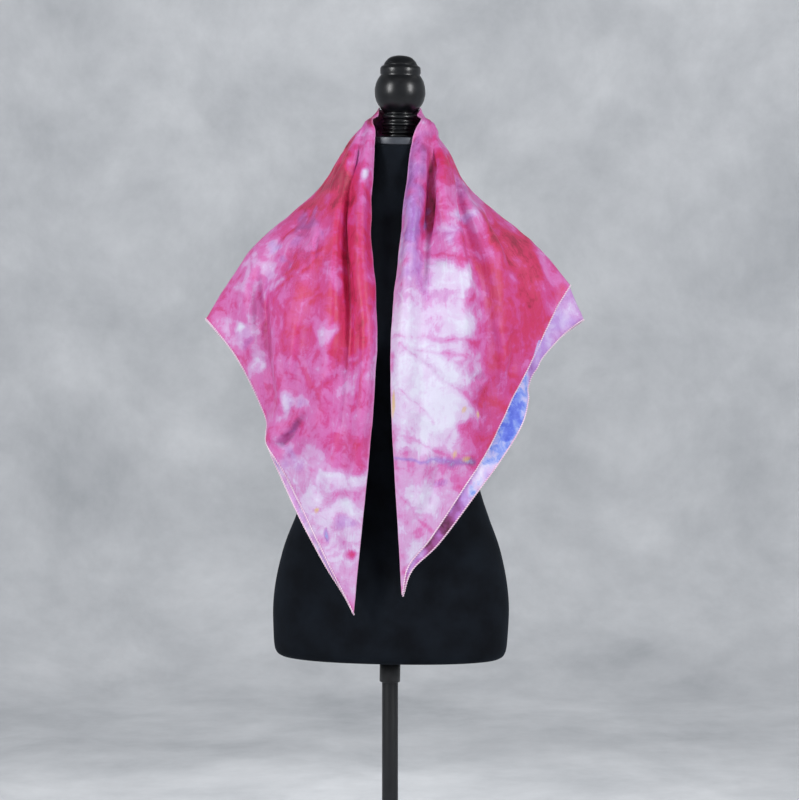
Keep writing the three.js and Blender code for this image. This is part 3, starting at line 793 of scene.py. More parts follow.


# %% [markdown]
# The dye was dripped on crumpled, wet silk, a common way to dye at home and in the studio. What it leaves
# is soft pools with ragged fronts. The pools are listed as soft ovals on the elevation, the broad
# ones first, so each later pool soaks over those before it. They follow the zones and colours of the
# photograph and aren't traced from it. Each sets how deep the red dye is there, and how much it turns to
# violet and to blue. Noise bends the ovals here, and in the material it breaks their edges.
# A few pools are painted shade: deeper red or plum in the troughs and valleys of the folds and over the
# upper left shoulder. One small pale pool is a painted glint. Each is marked in its table.

# %% Pools of dye on the left of the front
LEFT_POOLS = [
    # x, z, half width, half height, tilt in degrees, red, violet, blue
    (-140, 1250, 190, 290, 0, 0.54, 0.05, 0),
    (-90, 900, 110, 110, 0, 0.26, 0.12, 0),
    (-31, 1441, 13, 22, 0, 0.44, 0.30, 0),
    (-26, 1470, 10, 16, 0, 0.92, 0.6, 0),
    (-38, 1410, 12, 20, 0, 0.50, 0.12, 0),
    (-38, 1362, 12, 25, 0, 0.68, 0.03, 0),
    # This small pale pool is a painted glint, a highlight on a crease of the left roll.
    (-32, 1378, 3.5, 9, -15, 0.05, 0.05, 0),
    (-35, 1300, 13, 55, 0, 0.77, 0, 0),
    (-33, 1218, 12, 52, 0, 0.77, 0, 0),
    # From here to the pool at -103, 1335 the red is deepened as painted shade: in the trough beside the left
    # roll, and over the upper left shoulder where the cloth turns away from the light.
    (-63, 1355, 11, 70, 0, 0.85, 0.05, 0),
    (-60, 1273, 13, 55, 0, 0.87, 0, 0),
    (-57, 1204, 17, 60, 0, 0.85, 0, 0),
    (-61, 1169, 19, 28, 0, 0.83, 0, 0),
    (-66, 1390, 15, 34, 0, 0.84, 0.03, 0),
    (-58, 1430, 13, 22, 0, 0.92, 0.1, 0),
    (-86, 1392, 18, 18, 38, 0.94, 0.1, 0),
    (-84, 1366, 30, 28, 38, 0.93, 0.04, 0),
    (-103, 1335, 28, 19, 38, 0.82, 0.10, 0),
    (-112, 1311, 17, 13, 0, 0.55, 0.55, 0),
    (-128, 1289, 14, 10, 20, 0.58, 0.60, 0),
    (-82, 1286, 20, 34, 0, 0.74, 0.02, 0),
    (-99, 1256, 22, 14, 20, 0.74, 0, 0),
    (-124, 1256, 25, 11, 25, 0.70, 0.05, 0),
    (-163, 1284, 14, 7, 35, 0.36, 0.60, 0),
    (-170, 1246, 11, 14, 0, 0.32, 0.30, 0),
    (-158, 1226, 13, 10, 0, 0.28, 0.26, 0),
    (-148, 1256, 11, 11, 0, 0.44, 0.50, 0),
    (-137, 1231, 17, 14, 0, 0.62, 0, 0),
    (-123, 1204, 36, 25, 0, 0.64, 0, 0),
    (-206, 1218, 26, 24, 0, 0.42, 0.10, 0),
    (-196, 1246, 24, 12, 45, 0.32, 0.14, 0),
    (-220, 1204, 22, 13, 0, 0.52, 0.10, 0),
    (-197, 1190, 17, 14, 0, 0.48, 0.12, 0),
    (-210, 1166, 32, 22, -30, 0.33, 0.34, 0),
    (-218, 1175, 11, 9, 0, 0.06, 0.04, 0),
    (-202, 1142, 15, 12, 0, 0.44, 0.42, 0),
    (-190, 1113, 12, 22, -20, 0.30, 0.26, 0),
    # These two narrow pools are painted shade: darker plum along the valley fold of the left wing.
    (-173, 1148, 7, 68, 0, 0.64, 0.40, 0),
    (-174, 1062, 8, 36, 0, 0.60, 0.26, 0),
    (-130, 1155, 24, 34, 0, 0.65, 0, 0),
    (-98, 1208, 30, 24, 20, 0.72, 0, 0),
    (-89, 1152, 13, 22, 10, 0.30, 0.16, 0),
    (-52, 1149, 11, 33, 0, 0.85, 0.08, 0),
    (-70, 1135, 11, 19, 0, 0.72, 0, 0),
    (-112, 1102, 44, 20, 0, 0.48, 0.02, 0),
    (-61, 1107, 22, 13, 0, 0.32, 0.03, 0),
    (-52, 1087, 25, 19, 0, 0.46, 0, 0),
    (-22, 1121, 8, 40, 0, 0.34, 0.1, 0),
    (-140, 1060, 9, 24, -28, 0.20, 0.34, 0),
    (-119, 1066, 7, 17, 15, 0.28, 0.36, 0),
    (-79, 1025, 38, 30, 0, 0.53, 0, 0),
    (-48, 994, 27, 24, 0, 0.62, 0, 0),
    (-97, 1011, 15, 19, 0, 0.56, 0, 0),
    (-137, 983, 26, 14, -62, 0.28, 0.40, 0),
    # This thin pool is painted shade: a dark plum line in the trough under the ridge at the left hem's kink.
    (-132, 1027, 22, 4, 46, 0.60, 0.62, 0),
    (-84, 963, 24, 7, 0, 0.14, 0.08, 0),
    (-42, 957, 16, 8, 0, 0.13, 0.05, 0),
    (-82, 940, 42, 20, 0, 0.24, 0.12, 0),
    (-68, 932, 17, 8, 0, 0.43, 0.14, 0),
    (-62, 915, 30, 10, 12, 0.08, 0.03, 0),
    (-61, 899, 25, 7, 12, 0.34, 0.55, 0),
    (-99, 921, 17, 20, 0, 0.27, 0.28, 0),
    (-75, 882, 17, 11, 0, 0.16, 0.12, 0),
    (-86, 880, 3, 8, 15, 0.45, 1, 0.3),
    (-61, 864, 20, 15, 0, 0.22, 0.2, 0),
    (-55, 858, 4.5, 5, 0, 0.8, 0, 0),
    (-61, 822, 22, 32, 0, 0.34, 0.26, 0),
]

# %% Pools of dye on the right of the front
RIGHT_POOLS = [
    (120, 1200, 130, 260, 0, 0.52, 0.08, 0),
    (60, 900, 70, 110, 0, 0.28, 0.10, 0),
    (60, 1150, 56, 120, 0, 0.18, 0.14, 0),
    (10, 1105, 16, 110, 0, 0.14, 0.14, 0),
    (104, 1110, 18, 70, 0, 0.34, 0.12, 0),
    (47, 1428, 14, 32, 0, 0.52, 0.55, 0),
    (36, 1380, 15, 36, 0, 0.46, 0.70, 0),
    (29, 1330, 14, 34, 0, 0.38, 0.74, 0),
    (40, 1310, 9, 34, 0, 0.42, 0.9, 0.10),
    (25, 1270, 14, 30, 0, 0.30, 0.6, 0),
    (18, 1236, 11, 28, 0, 0.26, 0.5, 0),
    (36, 1246, 14, 24, 0, 0.38, 0.6, 0),
    # These three narrow pools are painted shade: dark plum in the trough beside the right front roll,
    # over the violet dye there.
    (57, 1394, 6, 28, 0, 0.84, 0.55, 0),
    (56, 1342, 8, 28, 0, 0.82, 0.5, 0),
    (56, 1310, 9, 17, 0, 0.74, 0.4, 0),
    (69, 1350, 7, 66, 0, 0.57, 0.16, 0),
    (75, 1318, 10, 36, 0, 0.58, 0.05, 0),
    (80, 1402, 11, 22, 0, 0.84, 0, 0),
    (91, 1380, 12, 14, 0, 0.80, 0.08, 0),
    (100, 1350, 15, 13, 0, 0.42, 0.40, 0),
    (107, 1323, 19, 15, 0, 0.28, 0.42, 0),
    (110, 1286, 22, 20, 0, 0.63, 0.12, 0),
    (138, 1321, 22, 14, -38, 0.80, 0.22, 0),
    (162, 1300, 28, 15, -38, 0.86, 0.04, 0),
    (178, 1276, 34, 22, -40, 0.90, 0, 0),
    (207, 1252, 28, 20, -42, 0.86, 0, 0),
    (231, 1218, 18, 20, 0, 0.72, 0.02, 0),
    (138, 1252, 28, 20, 0, 0.78, 0, 0),
    (152, 1218, 30, 28, 0, 0.74, 0, 0),
    (193, 1200, 32, 38, 0, 0.82, 0, 0),
    (180, 1162, 33, 33, 0, 0.77, 0, 0),
    (80, 1286, 16, 16, 0, 0.36, 0.40, 0),
    (82, 1236, 22, 20, 0, 0.07, 0.12, 0),
    (66, 1217, 24, 13, 0, 0.10, 0.14, 0),
    (96, 1215, 11, 17, 0, 0.08, 0.05, 0),
    (65, 1262, 26, 7, 8, 0.46, 0.2, 0),
    (60, 1201, 22, 8, 12, 0.32, 0.28, 0),
    (45, 1222, 14, 14, 0, 0.34, 0.40, 0),
    (24, 1180, 22, 32, 0, 0.14, 0.2, 0),
    (49, 1173, 22, 14, 0, 0.24, 0.08, 0),
    (44, 1100, 36, 66, 0, 0.05, 0.05, 0),
    (72, 1066, 40, 55, 0, 0.04, 0.02, 0),
    (92, 1164, 20, 26, 0, 0.09, 0.05, 0),
    (90, 1121, 20, 11, 0, 0.28, 0.04, 0),
    (130, 1160, 14, 27, 0, 0.58, 0.12, 0),
    (134, 1119, 13, 28, 0, 0.56, 0.04, 0),
    (122, 1085, 14, 22, 0, 0.50, 0.04, 0),
    (130, 1050, 14, 22, 0, 0.60, 0, 0),
    (117, 1027, 18, 20, 0, 0.56, 0, 0),
    (100, 1045, 9, 9, 0, 0.28, 0.1, 0),
    (166, 1135, 28, 33, 0, 0.74, 0, 0),
    (159, 1098, 25, 27, 0, 0.71, 0, 0),
    (150, 1060, 17, 24, 0, 0.70, 0, 0),
    (137, 1022, 13, 26, 0, 0.72, 0, 0),
    (119, 990, 13, 12, 0, 0.66, 0, 0),
    (54, 1023, 36, 28, 0, 0.06, 0.06, 0),
    (10, 992, 12, 14, 0, 0.42, 0.04, 0),
    (86, 982, 11, 6, 0, 0.5, 0.8, 0.2),
    (56, 967, 42, 10, 0, 0.36, 0.12, 0),
    (27, 959, 17, 20, 0, 0.28, 0.1, 0),
    (68, 952, 14, 8, 0, 0.40, 0.6, 0),
    (97, 948, 20, 18, 0, 0.54, 0.06, 0),
    (35, 928, 22, 20, 0, 0.12, 0.08, 0),
    (56, 900, 22, 14, 0, 0.30, 0.15, 0),
    (70, 914, 12, 10, 0, 0.46, 0.1, 0),
    (40, 886, 14, 8, 0, 0.46, 0.2, 0),
    (21, 864, 14, 22, 0, 0.16, 0.12, 0),
    (20, 826, 10, 24, 0, 0.38, 0.1, 0),
]
YELLOW_SPECKS = [
    (104, 989, 7, 6),
    (87, 994, 5, 6),
    (7, 1060, 3, 22),
    (102, 1060, 4, 7),
    (118, 1048, 3, 6),
    (-97, 918, 4, 5),
]

# %% Pools of dye on the under layer and the back
UNDER_POOLS = [
    (0, 1100, 500, 600, 0, 0.30, 0.60, 0),
    (0, 1450, 80, 50, 0, 0.85, 0.45, 0),
    (170, 1030, 60, 70, 0, 0.2, 0.7, 0.45),
    (238, 1178, 24, 22, 0, 0.24, 0.75, 0),
    (212, 1136, 20, 34, 0, 0.22, 0.78, 0),
    (199, 1092, 6, 30, 0, 0.50, 0.95, 0),
    (176, 1062, 24, 32, 0, 0.3, 0.6, 0.80),
    (192, 1056, 7, 24, 0, 0.25, 0.75, 0.45),
    (148, 1022, 12, 15, 0, 0.10, 0.3, 0.55),
    (163, 1022, 16, 20, 0, 0.3, 0.6, 0.82),
    (144, 992, 18, 20, 0, 0.2, 0.5, 0.62),
    (129, 966, 13, 11, 0, 0.12, 0.3, 0.36),
    (117, 948, 13, 13, 0, 0.10, 0.35, 0.45),
    (101, 928, 15, 11, 0, 0.28, 0.75, 0.1),
    (90, 909, 15, 13, 0, 0.70, 0.95, 0),
    (72, 887, 19, 17, 0, 0.88, 0.98, 0),
    (54, 863, 19, 17, 0, 0.90, 0.94, 0),
    (37, 839, 15, 13, 0, 0.70, 0.80, 0),
    (21, 816, 12, 13, 0, 0.50, 0.35, 0),
    (-140, 950, 24, 40, 0, 0.26, 0.26, 0),
    (-110, 885, 26, 34, 0, 0.20, 0.24, 0),
]
BACK_POOLS = [
    (0, 1200, 360, 400, 0, 0.48, 0.06, 0),
    (-24, 1390, 50, 50, 0, 0.76, 0.10, 0),
    (62, 1370, 44, 50, 30, 0.87, 0.04, 0),
    (-112, 1318, 62, 42, 30, 0.80, 0.06, 0),
    (142, 1300, 62, 42, -30, 0.70, 0.10, 0),
    (18, 1310, 30, 60, 0, 0.44, 0.70, 0),
    (-42, 1268, 36, 56, 10, 0.30, 0.20, 0),
    (44, 1236, 44, 46, 0, 0.10, 0.08, 0),
    (-122, 1212, 50, 60, 0, 0.60, 0.04, 0),
    (122, 1190, 60, 50, 0, 0.85, 0, 0),
    (-66, 1200, 30, 24, 20, 0.40, 0.60, 0),
    (-22, 1150, 56, 36, 0, 0.07, 0.06, 0),
    (62, 1118, 40, 38, 0, 0.46, 0.55, 0),
    (-8, 1118, 36, 32, 20, 0.2, 0.55, 0.52),
    (-94, 1112, 50, 50, 0, 0.74, 0.02, 0),
    (14, 1044, 56, 36, 0, 0.64, 0.04, 0),
    (102, 1050, 40, 40, 0, 0.20, 0.30, 0),
    (-62, 1002, 46, 34, 0, 0.24, 0.20, 0),
    (62, 984, 30, 26, 30, 0.2, 0.5, 0.42),
    (28, 950, 40, 34, 0, 0.12, 0.10, 0),
    (-42, 902, 36, 36, 0, 0.56, 0.08, 0),
    (22, 852, 36, 36, 0, 0.70, 0.04, 0),
    (-4, 782, 36, 46, 0, 0.32, 0.40, 0),
    (-176, 1260, 40, 40, 0, 0.34, 0.20, 0),
    (206, 1236, 40, 40, 0, 0.82, 0.02, 0),
    (-214, 1200, 30, 30, 0, 0.50, 0.10, 0),
]

# %% Thin stains along the folds of the wet silk
FOLD_STAINS = [
    # from x, z to x, z on the elevation, half width
    (13, 1142, 80, 1091, 4.5),
    (80, 1091, 125, 1056, 4),
    (7, 1153, 121, 1146, 3.5),
    (31, 1135, 104, 1124, 3),
    (33, 1273, 104, 1260, 4),
    (31, 1015, 72, 990, 3),
    (8, 944, 56, 887, 4),
    (18, 1080, 60, 1032, 2.5),
    (-89, 1280, -148, 1242, 3.5),
    (-100, 1259, -166, 1218, 3),
    (-128, 1125, -96, 1070, 3),
    (-96, 1080, -34, 1129, 3),
    (-30, 1125, -52, 1040, 3),
    (-112, 1330, -150, 1292, 3),
]
BLUE_STAINS = [
    (8, 989, 50, 982, 4),
    (50, 982, 118, 980, 6),
]
STAIN_WOBBLE = 20
STAIN_SPREAD = 2.2

# %% Where the silk stayed crumpled from dyeing
CRUMPLED = [
    (-168, 1125, 16, 80, 0, 1),
    (-118, 1250, 54, 38, 30, 0.85),
    (-60, 1107, 28, 18, 0, 0.9),
    (-135, 1040, 26, 26, 0, 0.7),
    (94, 1372, 22, 28, 0, 1),
    (126, 1060, 20, 66, 0, 1),
    (150, 1288, 44, 22, -36, 0.8),
    (84, 1252, 30, 14, 0, 0.6),
    (-20, 1210, 60, 60, 0, 0.3),
]
print("Pools on left, right, under layer and back:",
      [len(pools) for pools in (LEFT_POOLS, RIGHT_POOLS, UNDER_POOLS, BACK_POOLS)])

# %% Lay the pools on the cloth
FULLY_BENT = 13


def oval(x, z, pool, bend_x=0, bend_z=0):
    """How full each point lies in a pool, from 0 outside to 1 well inside. Small pools bend less."""
    cx, cz, half_width, half_height, tilt = pool[:5]
    bend = min(1, min(half_width, half_height) / FULLY_BENT)
    side, rise = x + bend * bend_x - cx, z + bend * bend_z - cz
    angle = math.radians(tilt)
    along = side * math.cos(angle) + rise * math.sin(angle)
    up = rise * math.cos(angle) - side * math.sin(angle)
    return 1 - smooth_step(0.25, 1.5, np.hypot(along / half_width, up / half_height))


def soaked(places, pools):
    """Red, violet and blue at each point, after every pool has soaked in, first to last."""
    x, z, bend_x, bend_z = places
    dye = np.zeros(x.shape + (3,)) + (0.5, 0.1, 0)
    for pool in pools:
        dye += (np.array(pool[5:8]) - dye) * oval(x, z, pool, bend_x, bend_z)[..., None]
    return dye


def dyed(grid, places, is_under):
    """Red, violet, blue and yellow at each grid point."""
    is_back = back_share(places, 7.6, 9.2)
    more = 1 + 0.9 * is_back[None, :]
    bend_x = more * (crumple(grid, 21, 40, 22) + crumple(grid, 23, 17, 14))
    bend_z = more * (crumple(grid, 27, 40, 22) + crumple(grid, 29, 17, 14))
    at = (grid[..., 0], grid[..., 2], bend_x, bend_z)
    front = soaked(at, UNDER_POOLS if is_under else LEFT_POOLS + RIGHT_POOLS)
    back = soaked(at, BACK_POOLS)
    dye = front + (back - front) * is_back[None, :, None]
    yellow = np.zeros(grid.shape[:2])
    for cx, cz, half_width, half_height in [] if is_under else YELLOW_SPECKS:
        speck = (cx, cz, half_width, half_height, 0)
        yellow = np.maximum(yellow, oval(at[0], at[1], speck, bend_x, bend_z))
    return np.concatenate([dye, (yellow * (1 - is_back))[..., None]], -1)


def crumpled(grid, places):
    """How strongly the silk is crumpled at each grid point."""
    x, z = grid[..., 0], grid[..., 2]
    strength = 0.28 + 0.3 * back_share(places, 7.8, 10)[None, :]
    strength = np.broadcast_to(strength, x.shape).copy()
    for pool in CRUMPLED:
        strength = np.maximum(strength, pool[5] * oval(x, z, pool))
    return strength


# %% [markdown]
# The outer layer's shell turns round the fold and ends on the under layer, because the two are one piece
# of silk. The turn is a half circle as wide as the gap between the layers. The same half circle closes
# the fold where it goes behind the finial.

# %% Both layers as thin shells
SHELL_HALF = 0.2
UNDER_OFFSET = 0.5
OUTER_OFFSET = 2.4
FOLD_STEPS = 4


def folded_face(grid, normal, half):
    """One face of the outer layer with its turn round the fold on three sides."""
    middle = (OUTER_OFFSET + UNDER_OFFSET) / 2
    radius = (OUTER_OFFSET - UNDER_OFFSET) / 2 + half
    left = unit(grid[:, 0] - grid[:, 1])
    right = unit(grid[:, -1] - grid[:, -2])
    up = unit(grid[0] - grid[1])
    rows, columns = grid.shape[:2]
    face = np.empty((rows + FOLD_STEPS, columns + 2 * FOLD_STEPS, 3))
    for r in range(rows + FOLD_STEPS):
        row = max(r - FOLD_STEPS, 0)
        turn_up = max(FOLD_STEPS - r, 0) / FOLD_STEPS
        for c in list(range(FOLD_STEPS)) + list(range(columns + FOLD_STEPS, columns + 2 * FOLD_STEPS)):
            is_left = c < FOLD_STEPS
            column = 0 if is_left else columns - 1
            turn_out = (FOLD_STEPS - c if is_left else c - columns - FOLD_STEPS + 1) / FOLD_STEPS
            way = unit((left[row] if is_left else right[row]) * turn_out + up[column] * turn_up)
            angle = math.pi * max(turn_out, turn_up)
            face[r, c] = grid[row, column] + way * radius * math.sin(angle)
            face[r, c] += normal[row, column] * (middle + radius * math.cos(angle))
        angle = math.pi * turn_up
        inside = slice(FOLD_STEPS, columns + FOLD_STEPS)
        face[r, inside] = grid[row] + up * radius * math.sin(angle) * (turn_up > 0)
        face[r, inside] += normal[row] * (middle + radius * math.cos(angle))
    return face


def padded_edges(values):
    """Repeats the first row and the edge columns, for the turn round the fold."""
    return np.pad(values, [(FOLD_STEPS, 0), (FOLD_STEPS, FOLD_STEPS), (0, 0)], mode="edge")


def store_cloth_data(piece, rays, dye, edge, rough):
    """Keeps ray places, dye, the painted highlight at the fold edge and crumpled zones on both faces."""
    mesh = piece.data
    count = rays.shape[0] * rays.shape[1]
    corners = np.empty(len(mesh.loops), np.int32)
    mesh.loops.foreach_get("vertex_index", corners)
    layer = mesh.uv_layers.new(name="along_rays")
    both = np.tile(rays.reshape(-1, 2) * MM, (2, 1))
    layer.data.foreach_set("uv", both[corners].astype(np.float32).ravel())
    color = mesh.attributes.new("dye", "FLOAT_COLOR", "POINT")
    color.data.foreach_set("color", np.tile(dye.reshape(-1, 4), (2, 1)).astype(np.float32).ravel())
    side = np.concatenate([np.zeros(count), np.ones(count)])
    marks = np.stack([np.tile(edge.ravel(), 2), side, np.tile(rough.ravel(), 2), side * 0 + 1], -1)
    mark = mesh.attributes.new("marks", "FLOAT_COLOR", "POINT")
    mark.data.foreach_set("color", marks.astype(np.float32).ravel())


def welded(piece):
    """Joins points that fell together at the two upper corners of the fold."""
    body = bmesh.new()
    body.from_mesh(piece.data)
    bmesh.ops.remove_doubles(body, verts=body.verts, dist=1e-6)
    bmesh.ops.dissolve_degenerate(body, edges=body.edges, dist=1e-7)
    body.to_mesh(piece.data)
    body.free()


outer_grid = draped(all_places, outer_shares, [])
outer_normal = outward(softened_grid(outer_grid, 6))
outer_front = folded_face(outer_grid, outer_normal, SHELL_HALF)
outer_back = folded_face(outer_grid, outer_normal, -SHELL_HALF)
scarf_outer = closed_shell("scarf_outer", outer_front, outer_back)
outer_dye = dyed(outer_grid, all_places, False)
# The outer layer's fold edges get a mark for a painted highlight, a thin paler pink line along each fold.
edge_run = np.minimum(all_places, LAST_RAY - all_places)[None, :] * np.ones((CLOTH_ROWS + 1, 1))
outer_edge_highlight = (1 - smooth_step(0.0, 0.14, edge_run))[..., None]
outer_rough = crumpled(outer_grid, all_places)[..., None]
outer_data = (ray_places(outer_grid), outer_dye, outer_edge_highlight, outer_rough)
store_cloth_data(scarf_outer, *[padded_edges(values) for values in outer_data])
welded(scarf_outer)

under_grid = draped(all_places, under_shares, UNDER_CREASES)
under_normal = outward(softened_grid(under_grid, 6))
under_front = under_grid + under_normal * (UNDER_OFFSET + SHELL_HALF)
under_back = under_grid + under_normal * (UNDER_OFFSET - SHELL_HALF)
scarf_under = closed_shell("scarf_under", under_front, under_back)
under_dye = dyed(under_grid, all_places, True)
under_rough = crumpled(under_grid, all_places)
store_cloth_data(scarf_under, ray_places(under_grid), under_dye, under_rough * 0, under_rough)
hem_length = lengths_along(outer_grid[-1])[-1] * MM
print("The outer layer's hem in metres:", round(float(hem_length), 3))


# %% [markdown]
# The edge is a rolled hem, overlocked with pale thread: the silk is rolled into a cord under 2 mm thick and
# the thread winds round it. The roll is a tube along the hem line. The thread is one long helix, with
# its turns a little wider apart than real ones, so that they still show at this size. A bump pattern could
# draw the thread, but a real helix also breaks up the hem's outline.

# %% Rolled hems and their thread
HEM_RADIUS = 0.9
HEM_STEP = 3.2
THREAD_RADIUS = 0.42
THREAD_PITCH = 3.4
TURN_STEPS = 7


def even_line(line, step):
    """The same line with points a step apart."""
    run = lengths_along(line)
    count = max(int(run[-1] / step), 2)
    at = np.linspace(0, run[-1], count + 1)
    return np.stack([np.interp(at, run, line[:, axis]) for axis in range(3)], -1)


def hem_and_thread(name, line, normal):
    """The rolled edge along a hem line, and the thread that winds round it."""
    roll = cord_tube("hem_" + name, even_line(line, HEM_STEP), HEM_RADIUS, 8)
    fine = even_line(line, THREAD_PITCH / TURN_STEPS)
    ahead = unit(np.gradient(fine, axis=0))
    out = even_line(line + normal, THREAD_PITCH / TURN_STEPS)
    out = np.stack([np.interp(np.linspace(0, 1, len(fine)), np.linspace(0, 1, len(out)), out[:, a])
                    for a in range(3)], -1) - fine
    out = unit(out - ahead * np.sum(out * ahead, axis=1)[:, None])
    across = np.cross(ahead, out)
    turn = np.arange(len(fine)) * 2 * math.pi / TURN_STEPS
    wobble = 1 + 0.12 * np.sin(turn * 0.37)
    reach = (HEM_RADIUS + THREAD_RADIUS * 0.5) * wobble
    helix = fine + out * (np.cos(turn) * reach)[:, None] + across * (np.sin(turn) * reach)[:, None]
    thread = cord_tube("thread_" + name, helix, THREAD_RADIUS, 4)
    return roll, thread


outer_line = outer_grid[-1] + outer_normal[-1] * OUTER_OFFSET
under_line = under_grid[-1] + under_normal[-1] * UNDER_OFFSET
hem_outer, thread_outer = hem_and_thread("outer", outer_line, outer_normal[-1])
hem_under, thread_under = hem_and_thread("under", under_line, under_normal[-1])
print("Turns of thread on the outer hem:", round(hem_length / (THREAD_PITCH * MM)))


# %% [markdown]
# Silk here is a plain, light weave that has been dyed wet and pressed: each thread is smooth, so the cloth
# has a soft gloss along its ridges and a pale sheen at grazing angles. The base colour comes from the four
# numbers on the mesh. Noise moves each pool's edge, and a wave added to the depth makes it rise in soft
# steps, before a colour ramp turns depth into colour. That gives the ragged fronts and the tide lines of
# real dye. Where the wet silk was pressed in folds, thin lines are darker or paler, and stand up a little.
# A painted image could carry the dye too, but noise stays sharp however near the camera comes.

# %% Noise in the silk
NOISE_FIELDS = {
    # what it is read on, size in millimetres, detail, roughness, distortion
    "pools": ("place", 30, 7, 0.62, 0.7),
    "blots": ("place", 11, 5, 0.6, 0.5),
    "grain": ("place", 2.4, 3, 0.7, 0),
    "streaks": ("rays", 7, 4, 0.65, 0.4),
    "fine_streaks": ("rays", 2.6, 3, 0.6, 0.2),
    "pressed_zone": ("place", 48, 3, 0.5, 0.4),
    "drawn_zone": ("place", 37, 3, 0.5, 0.2),
    "crumples": ("bent", 9, 5, 0.62, 1.2),
    "weave": ("place", 0.9, 1, 0.5, 0),
}
RAY_STRETCH = 0.11
BEND_SIZE = 34
BEND_REACH = 40


def silk_fields(tree, place):
    """The noise fields by name, with the bend and the bent place that some are read on."""
    bend = add_node(tree, "TexNoise", Vector=place, Scale=1000 / BEND_SIZE, Detail=4).outputs["Color"]
    bent = add_node(tree, "VectorMath", {"operation": "MULTIPLY_ADD"}, in_0=bend,
                    in_1=(BEND_REACH * MM,) * 3, in_2=place).outputs["Vector"]
    along = add_node(tree, "UVMap", {"uv_map": "along_rays"}).outputs["UV"]
    rays = add_node(tree, "Mapping", Vector=along, Scale=(1, RAY_STRETCH, 1)).outputs["Vector"]
    fields = {"place": place, "rays": rays, "bent": bent, "bend": bend}
    for field, (space, size_mm, detail, rough, twist) in NOISE_FIELDS.items():
        noise_node = add_node(tree, "TexNoise", Vector=fields[space], Scale=1000 / size_mm, Detail=detail,
                              Roughness=rough, Distortion=twist)
        fields[field] = noise_node.outputs["Fac"]
    return fields


def shifted(tree, value, field, amount):
    """The value plus a noise field times an amount. The field's middle value changes nothing."""
    change = add_node(tree, "Math", {"operation": "MULTIPLY_ADD"}, in_0=field, in_1=amount, in_2=-amount / 2)
    return add_node(tree, "Math", {"operation": "ADD"}, in_0=value, in_1=change.outputs[0]).outputs[0]


def fold_lines(tree, vector, size_mm, width, zone, zone_from, zone_to):
    """Thin curved lines where smooth noise passes its middle value, and the zone that they lie in."""
    field = add_node(tree, "TexNoise", Vector=vector, Scale=1000 / size_mm, Detail=2, Roughness=0.5,
                     Distortion=0.6).outputs["Fac"]
    off = add_node(tree, "Math", {"operation": "SUBTRACT"}, in_0=field, in_1=0.5).outputs[0]
    off = add_node(tree, "Math", {"operation": "ABSOLUTE"}, in_0=off).outputs[0]
    line = add_node(tree, "ValToRGB", {"stops": [(0.0, 1.0), (width, 0.0)]}, Fac=off).outputs["Color"]
    where = add_node(tree, "ValToRGB", {"stops": [(zone_from, 0.0), (zone_to, 1.0)]}, Fac=zone)
    return line, where.outputs["Color"]


# %% Thin stains on the front
FRONT_FACE = -30


def stained(tree, stains, fields):
    """1 along the middle of each thin stain on the front, and soon 0 beside it."""
    place = fields["place"]
    wobble = (STAIN_WOBBLE * MM, 0, STAIN_WOBBLE * MM)
    flat = add_node(tree, "VectorMath", {"operation": "MULTIPLY"}, in_0=place, in_1=(1, 0, 1)).outputs[0]
    at = add_node(tree, "VectorMath", {"operation": "MULTIPLY_ADD"}, in_0=fields["bend"], in_1=wobble,
                  in_2=flat).outputs[0]
    forward = add_node(tree, "SeparateXYZ", Vector=place).outputs["Y"]
    on_front = add_node(tree, "Math", {"operation": "LESS_THAN"}, in_0=forward, in_1=FRONT_FACE * MM)
    deepest = 0.0
    for x_from, z_from, x_to, z_to, half_width in stains:
        start = Vector((x_from, 0, z_from)) * MM + Vector(wobble) / 2
        way = Vector((x_to - x_from, 0, z_to - z_from)) * MM
        apart = add_node(tree, "VectorMath", {"operation": "SUBTRACT"}, in_0=at, in_1=start).outputs[0]
        share = add_node(tree, "VectorMath", {"operation": "DOT_PRODUCT"}, in_0=apart,
                         in_1=way / way.length_squared).outputs["Value"]
        share = add_node(tree, "Math", {"operation": "MAXIMUM", "use_clamp": True}, in_0=share, in_1=0)
        reached = add_node(tree, "VectorMath", {"operation": "SCALE"}, in_0=way, Scale=share.outputs[0])
        away = add_node(tree, "VectorMath", {"operation": "DISTANCE"}, in_0=apart, in_1=reached.outputs[0])
        away = add_node(tree, "Math", {"operation": "DIVIDE"}, in_0=away.outputs["Value"],
                        in_1=STAIN_SPREAD * half_width * MM)
        fill = add_node(tree, "Math", {"operation": "SUBTRACT", "use_clamp": True}, in_0=1,
                        in_1=away.outputs[0]).outputs[0]
        fill = add_node(tree, "Math", {"operation": "MULTIPLY"}, in_0=fill, in_1=fill).outputs[0]
        deepest = add_node(tree, "Math", {"operation": "MAXIMUM"}, in_0=deepest, in_1=fill).outputs[0]
    return add_node(tree, "Math", {"operation": "MULTIPLY"}, in_0=deepest,
                    in_1=on_front.outputs[0]).outputs[0]


# %% How deep each dye is
TIDE = 0.16
TIDE_HEIGHT = 0.75
STAIN_DEPTH = 0.14
LINE_DEPTH = 0.07
GRAIN_DEPTH = 0.07


